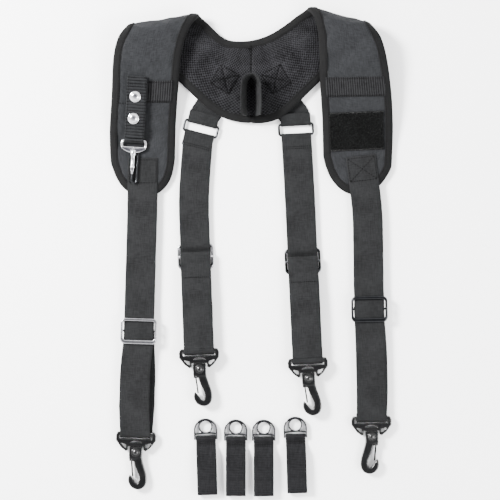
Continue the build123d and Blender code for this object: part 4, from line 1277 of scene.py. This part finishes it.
# (along, out) pairs: hem, turn round the ring's bar, back, lower fold, and the front up to the seam.
LOOP_COURSE = [(-30.0, 2.4), (-27.0, 4.6)] + arc((LOOP_BAR, LOOP_BAR_Z), WRAP_R, 90, -90, 12)
LOOP_COURSE += [(-34, 0.7), (5 - LOOP_LENGTH, 0.7)] + arc((5 - LOOP_LENGTH, 5.0), 4.3, 270, 90, 10)
LOOP_COURSE += [(-60, 9.3), (-44, 8.9), (-38, 5.2), (-33.5, 2.9), (-29.0, 2.6)]


def belt_loop(number, place, tilt):
    """A folded loop of narrow webbing with two seams, and its ring."""
    body = f"belt_loop_{number}_body"
    spots = np.array([np.array([*place, z]) + along_of(tilt) * y for y, z in LOOP_COURSE])
    strap = webbing(
        f"belt_loop_{number}_webbing", spots, across_of(tilt), "loop_webbing", width=NARROW_W, thick=1.1,
        columns=9, step=1.6, seed=40 + number * 3, wave=0.45 + 0.1 * number,
    )
    place_piece(strap, body, [f"belt_loop_{number}"])
    for y in (-31.0, -33.4):
        sew_across(body, np.array([*place, 3.9]) + along_of(tilt) * y, tilt, 11, steps=10, seed=15)
    moulded(f"belt_loop_ring_{number}", "belt_ring_gunmetal", voxel=0.35, rounds=6)


for number, (place, tilt) in enumerate(BELT_LOOPS, start=1):
    belt_loop(number, place, tilt)

# ---- stitching on the yoke

YOKE_BOX_TILT = {"left": -31, "right": 31}
YOKE_BOX_Z = 9.0
BOX_RISE, BOX_SPREAD, BOX_SKIRT = 2.3, 1.8, 0.12
SEAM_FOOT, SEAM_HEAD, SEAM_Z = 223, 262, 8.55
SEAM_ROWS = [(-2.4, 0.7, 0.74), (0.0, 1.3, 1.0), (2.4, 0.7, 0.74)]  # x, and the stitches' width and share


def quilted_box(name, centre, across, lengthways):
    """A square of the yoke's lining, sewn down along its edges and its two diagonals."""
    half, edge = YOKE_BOX / 2, 1 + BOX_SKIRT
    places = np.linspace(-edge, edge, 45)
    x, y = (grid.ravel() for grid in np.meshgrid(places, places))
    to_lines = np.minimum.reduce([np.abs(np.abs(x) - 1), np.abs(np.abs(y) - 1), np.abs(x - y), np.abs(x + y)])
    skirt = np.clip((edge - np.maximum(np.abs(x), np.abs(y))) / BOX_SKIRT, 0, 1)
    rise = (BOX_RISE * (1 - np.exp(-to_lines * half / BOX_SPREAD)) + 0.2) * skirt - 0.9 * (1 - skirt)
    flat = centre + np.outer(x * half, across) + np.outer(y * half, lengthways)
    points = np.vstack([flat - (0, 0, 1.6), flat + np.outer(rise - 0.5, (0, 0, 1))])
    weave = np.stack([flat[:, 1], flat[:, 0]], axis=1)
    faces = shell_faces(len(places), len(places))
    return make_piece(name, points, faces, "spacer_mesh", np.vstack([weave, weave]))


def yoke_stitching():
    """The yoke's two cross-stitched boxes, and three rows of stitches along its centre seam."""
    for side, tilt in YOKE_BOX_TILT.items():
        across, lengthways = across_of(tilt), along_of(tilt)
        centre = np.array([YOKE_BOX_X[side], YOKE_BOX_Y, YOKE_BOX_Z])
        # The boxes' stitches are drawn wide in the near-black thread, as painted shade in the pulled-in
        # seams.
        box_of_stitches("harness", centre, across, lengthways, (0, 0, 1), YOKE_BOX, YOKE_BOX, thick=1.5)
        place_piece(quilted_box(f"{side}_yoke_box", centre, across, lengthways), "harness")
    for x, width, share in SEAM_ROWS:
        row = np.linspace((x, SEAM_FOOT, SEAM_Z), (x, SEAM_HEAD, SEAM_Z), 8)
        stitch("harness", row, (0, 0, 1), seed=16, width=width, share=share)


yoke_stitching()

# ---- hardware

SLIDER_HALF_W, SLIDER_HALF_L, SLIDER_HALF_T = 23.0, 16.5, 1.5
SLIDER_BARS = {"side": 2.9, "top": 4.0, "low": 5.4}
SLIDER_CORNER, WINDOW_CORNER = 6.5, 3.6
SLIDER_FRAME_Z = 11.3
SLIDER_BAR_R = 1.4
SLIDER_LUG = [(-21.6, SLIDER_FRAME_Z), (-21.5, 6.6), (-20.2, CENTRE_BAR_Z + 0.4), (-18, CENTRE_BAR_Z)]
RIM_STEPS = 12
COLLAR_WINDOW_Y = -22.4
COLLAR_CAP = [(0.01, 0.0), (5.3, 0.0), (5.5, 0.25), (5.3, 0.7), (4.7, 0.9), (4.1, 0.55), (3.5, 0.5),
              (2.9, 0.95), (1.8, 1.5), (0.01, 1.75)]
BRACKET = [(-15.6, -6.5), (-10.5, -9.6), (0, -11.2), (10.5, -9.6), (15.6, -6.5), (16.2, -9.4), (11.0, -13.4),
           (5.4, -15.4), (0, -15.8), (-5.4, -15.4), (-11.0, -13.4), (-16.2, -9.4)]
BRACKET_LAYERS = [(0.55, -2.0), (0.9, -1.7), (1.0, -0.8), (1.0, 0.8), (0.9, 1.7), (0.55, 2.0)]  # size, height
BRACKET_NARROWING = np.array([0.12, 0.9])  # how much of a layer's smaller size there is across and along
BARREL_Y = 11.4
BARREL = [(0.01, 0.0), (3.0, 0.0), (3.8, 0.6), (3.8, 6.6), (3.0, 8.0), (2.65, 9.5), (2.65, 19.8), (3.1, 20.6),
          (3.4, 21.2), (3.4, 22.8), (2.6, 23.6), (0.01, 23.8)]


def round_box(half_w, low, high, radius):
    """Points of a rounded rectangle, the same number round each corner, from its right side's top."""
    line = []
    for cx, cy, start in ((1, 1, 0), (-1, 1, 90), (-1, -1, 180), (1, -1, 270)):
        middle = (cx * (half_w - radius), (high if cy > 0 else low) - cy * radius)
        line += arc(middle, radius, start, start + 90, 8)
        if cx == cy:
            end = (-line[-1][0], line[-1][1])
        else:
            end = (line[-1][0], (high if cy < 0 else low) + cy * radius)
        line += [tuple(p) for p in np.linspace(line[-1], end, 6)[1:-1]]
    return np.array(line)


def slider_frame(name):
    """Points and faces of a tri-glide's rounded frame, which has a heavier low bar."""
    at = STRAPS[name]["slider"]
    outer = round_box(SLIDER_HALF_W, -SLIDER_HALF_L, SLIDER_HALF_L, SLIDER_CORNER)
    low, high = SLIDER_BARS["low"] - SLIDER_HALF_L, SLIDER_HALF_L - SLIDER_BARS["top"]
    inner = round_box(SLIDER_HALF_W - SLIDER_BARS["side"], low, high, WINDOW_CORNER)
    points, faces = [], []
    for far, near in zip(outer, inner):
        for a in np.arange(RIM_STEPS) * 2 * pi / RIM_STEPS:
            c, d = (np.sign(way(a)) * abs(way(a)) ** 0.8 for way in (cos, sin))
            x, y = (far + near) / 2 + (far - near) / 2 * c
            points.append(strap_spot(name, x, at + y, SLIDER_FRAME_Z + SLIDER_HALF_T * d))
    for i in range(len(outer)):
        for k in range(RIM_STEPS):
            n, m = (i + 1) % len(outer), (k + 1) % RIM_STEPS
            faces.append((i * RIM_STEPS + k, i * RIM_STEPS + m, n * RIM_STEPS + m, n * RIM_STEPS + k))
    return points, faces


def slider_bar(name):
    """Points and faces of a tri-glide's middle bar, which hangs from the frame on two lugs."""
    at = STRAPS[name]["slider"]
    course = [*smooth_curve(SLIDER_LUG, 10), *smooth_curve([(-x, z) for x, z in SLIDER_LUG[::-1]], 10)]
    points = []
    for i, (x, z) in enumerate(course):
        way = unit(course[min(i + 1, len(course) - 1)] - course[max(i - 1, 0)]) * SLIDER_BAR_R
        for a in np.arange(RIM_STEPS) * 2 * pi / RIM_STEPS:
            spot = (x - way[1] * cos(a), at + SLIDER_BAR_R * sin(a), z + way[0] * cos(a))
            points.append(strap_spot(name, *spot))
    return points, tube_faces(len(course), RIM_STEPS)


def tri_glide(name, kind):
    """A strap's slider: a frame and a middle bar, cast in one."""
    points, faces = slider_frame(name)
    add_shape(points, faces, *slider_bar(name))
    piece = make_piece(f"{name}_tri_glide", points, faces, kind)
    place_piece(piece, f"{name}_adjuster", [f"{name}_slider"])


def collar_cap(name):
    """The round cap that closes the window of a hook's swivelling collar."""
    spot = strap_spot(name, 0, COLLAR_WINDOW_Y, 0)
    spot[2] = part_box(f"{name}_snap_hook")[1].z / MM + 0.02
    cap = make_piece(f"{name}_collar_cap", *lathe(spot, Z_WAY, X_WAY, COLLAR_CAP), "black_plastic")
    place_piece(cap, f"{name}_hook")


def key_bracket():
    """The bracket that joins the key snap's eye to its swivel."""
    middle = np.mean(BRACKET, axis=0)
    points = []
    for size, height in BRACKET_LAYERS:
        for spot in BRACKET:
            x, y = middle + (np.array(spot) - middle) * (1 - (1 - size) * BRACKET_NARROWING)
            points.append(EYE_AT + across_of(KEY_TILT) * x + EYE_ALONG * y + Z_WAY * height)
    bracket = make_piece("key_snap_bracket", points, tube_faces(len(BRACKET_LAYERS), len(BRACKET)), "chrome")
    rounded(bracket, 2)
    place_piece(bracket, "key_eye")


def key_barrel():
    """The key snap's bright barrel, with a collar at its foot."""
    shape = lathe(EYE_AT - EYE_ALONG * BARREL_Y, -EYE_ALONG, across_of(KEY_TILT), BARREL)
    place_piece(make_piece("key_snap_barrel", *shape, "chrome"), "key_hook")


def dress_cad():
    """Materials for the CAD nodes that no piece stands for."""
    for node, piece in frame["nodes"].items():
        if piece.hide_render:
            continue
        kind = "black_plastic"
        if "key_snap" in node or "snap_studs" in node:
            kind = "chrome"
        elif "ring" in node:
            kind = "gunmetal"
        piece.data.materials.clear()
        piece.data.materials.append(MATERIALS[kind])


for name in STRAPS:
    # The left sliders take the brighter copy of the same dark plating: painted reflection.
    tri_glide(name, "nickel" if name.startswith("left") else "gunmetal")
    for part in ("hook_frame", "snap_hook"):
        moulded(f"{name}_{part}", "black_plastic", voxel=0.4, rounds=6)
moulded("key_snap_hook", "gunmetal", voxel=0.28, rounds=4)
for name in STRAPS:
    collar_cap(name)
key_bracket()
key_barrel()
dress_cad()
finish_stitches()

# ---- floor, light and camera

FLOOR_Z = -0.0006
FLOOR_WHITE = 0.97
SKY = [(0.0, (0.8, 0.8, 0.81)), (0.55, (1, 1, 1)), (0.84, (0.4, 0.4, 0.41)), (1.0, (0.06, 0.06, 0.07))]
SKY_POWER = 4.2
LIGHTS = {"key": ((-1.3, 0.7, 1.2), 0.5, 190), "fill": ((1.1, -0.5, 1.3), 0.7, 34)}  # place, size and power
VIEW_AT = (-0.0013, 0.0029, 1.8)
LENS = 102


def lay_floor():
    """A pale floor under the harness, only for the picture."""
    bpy.ops.mesh.primitive_plane_add(size=6, location=(0, 0, FLOOR_Z))
    floor = bpy.context.object
    floor.name = "floor"
    white, _, shader = start_material("floor_white", 0.9)
    shader.inputs["Base Color"].default_value = (FLOOR_WHITE, FLOOR_WHITE, FLOOR_WHITE, 1)
    floor.data.materials.append(white)


def light_sky():
    """Light from all round that is weakest straight above, so that the hardware shows dark reflections."""
    world = bpy.data.worlds.new("studio")
    bpy.context.scene.world = world
    world.use_nodes = True
    sky = world.node_tree
    heading = sky.nodes.new("ShaderNodeSeparateXYZ")
    sky.links.new(sky.nodes.new("ShaderNodeTexCoord").outputs["Generated"], heading.inputs["Vector"])
    sky.links.new(ramp(sky, heading.outputs["Z"], SKY), sky.nodes["Background"].inputs["Color"])
    sky.nodes["Background"].inputs["Strength"].default_value = SKY_POWER


def area_light(name, place, size, power):
    """A soft square light that looks at the middle of the harness."""
    data = bpy.data.lights.new(name, "AREA")
    data.size = size
    data.energy = power
    light = bpy.data.objects.new(name, data)
    light.location = place
    light.rotation_euler = (-Vector(place)).to_track_quat("-Z", "Y").to_euler()
    bpy.context.scene.collection.objects.link(light)


def look_down():
    """The camera, straight above."""
    data = bpy.data.cameras.new("camera")
    data.lens = LENS
    camera = bpy.data.objects.new("camera", data)
    camera.location = VIEW_AT
    bpy.context.scene.collection.objects.link(camera)
    bpy.context.scene.camera = camera


lay_floor()
light_sky()
for name, settings in LIGHTS.items():
    area_light(name, *settings)
look_down()
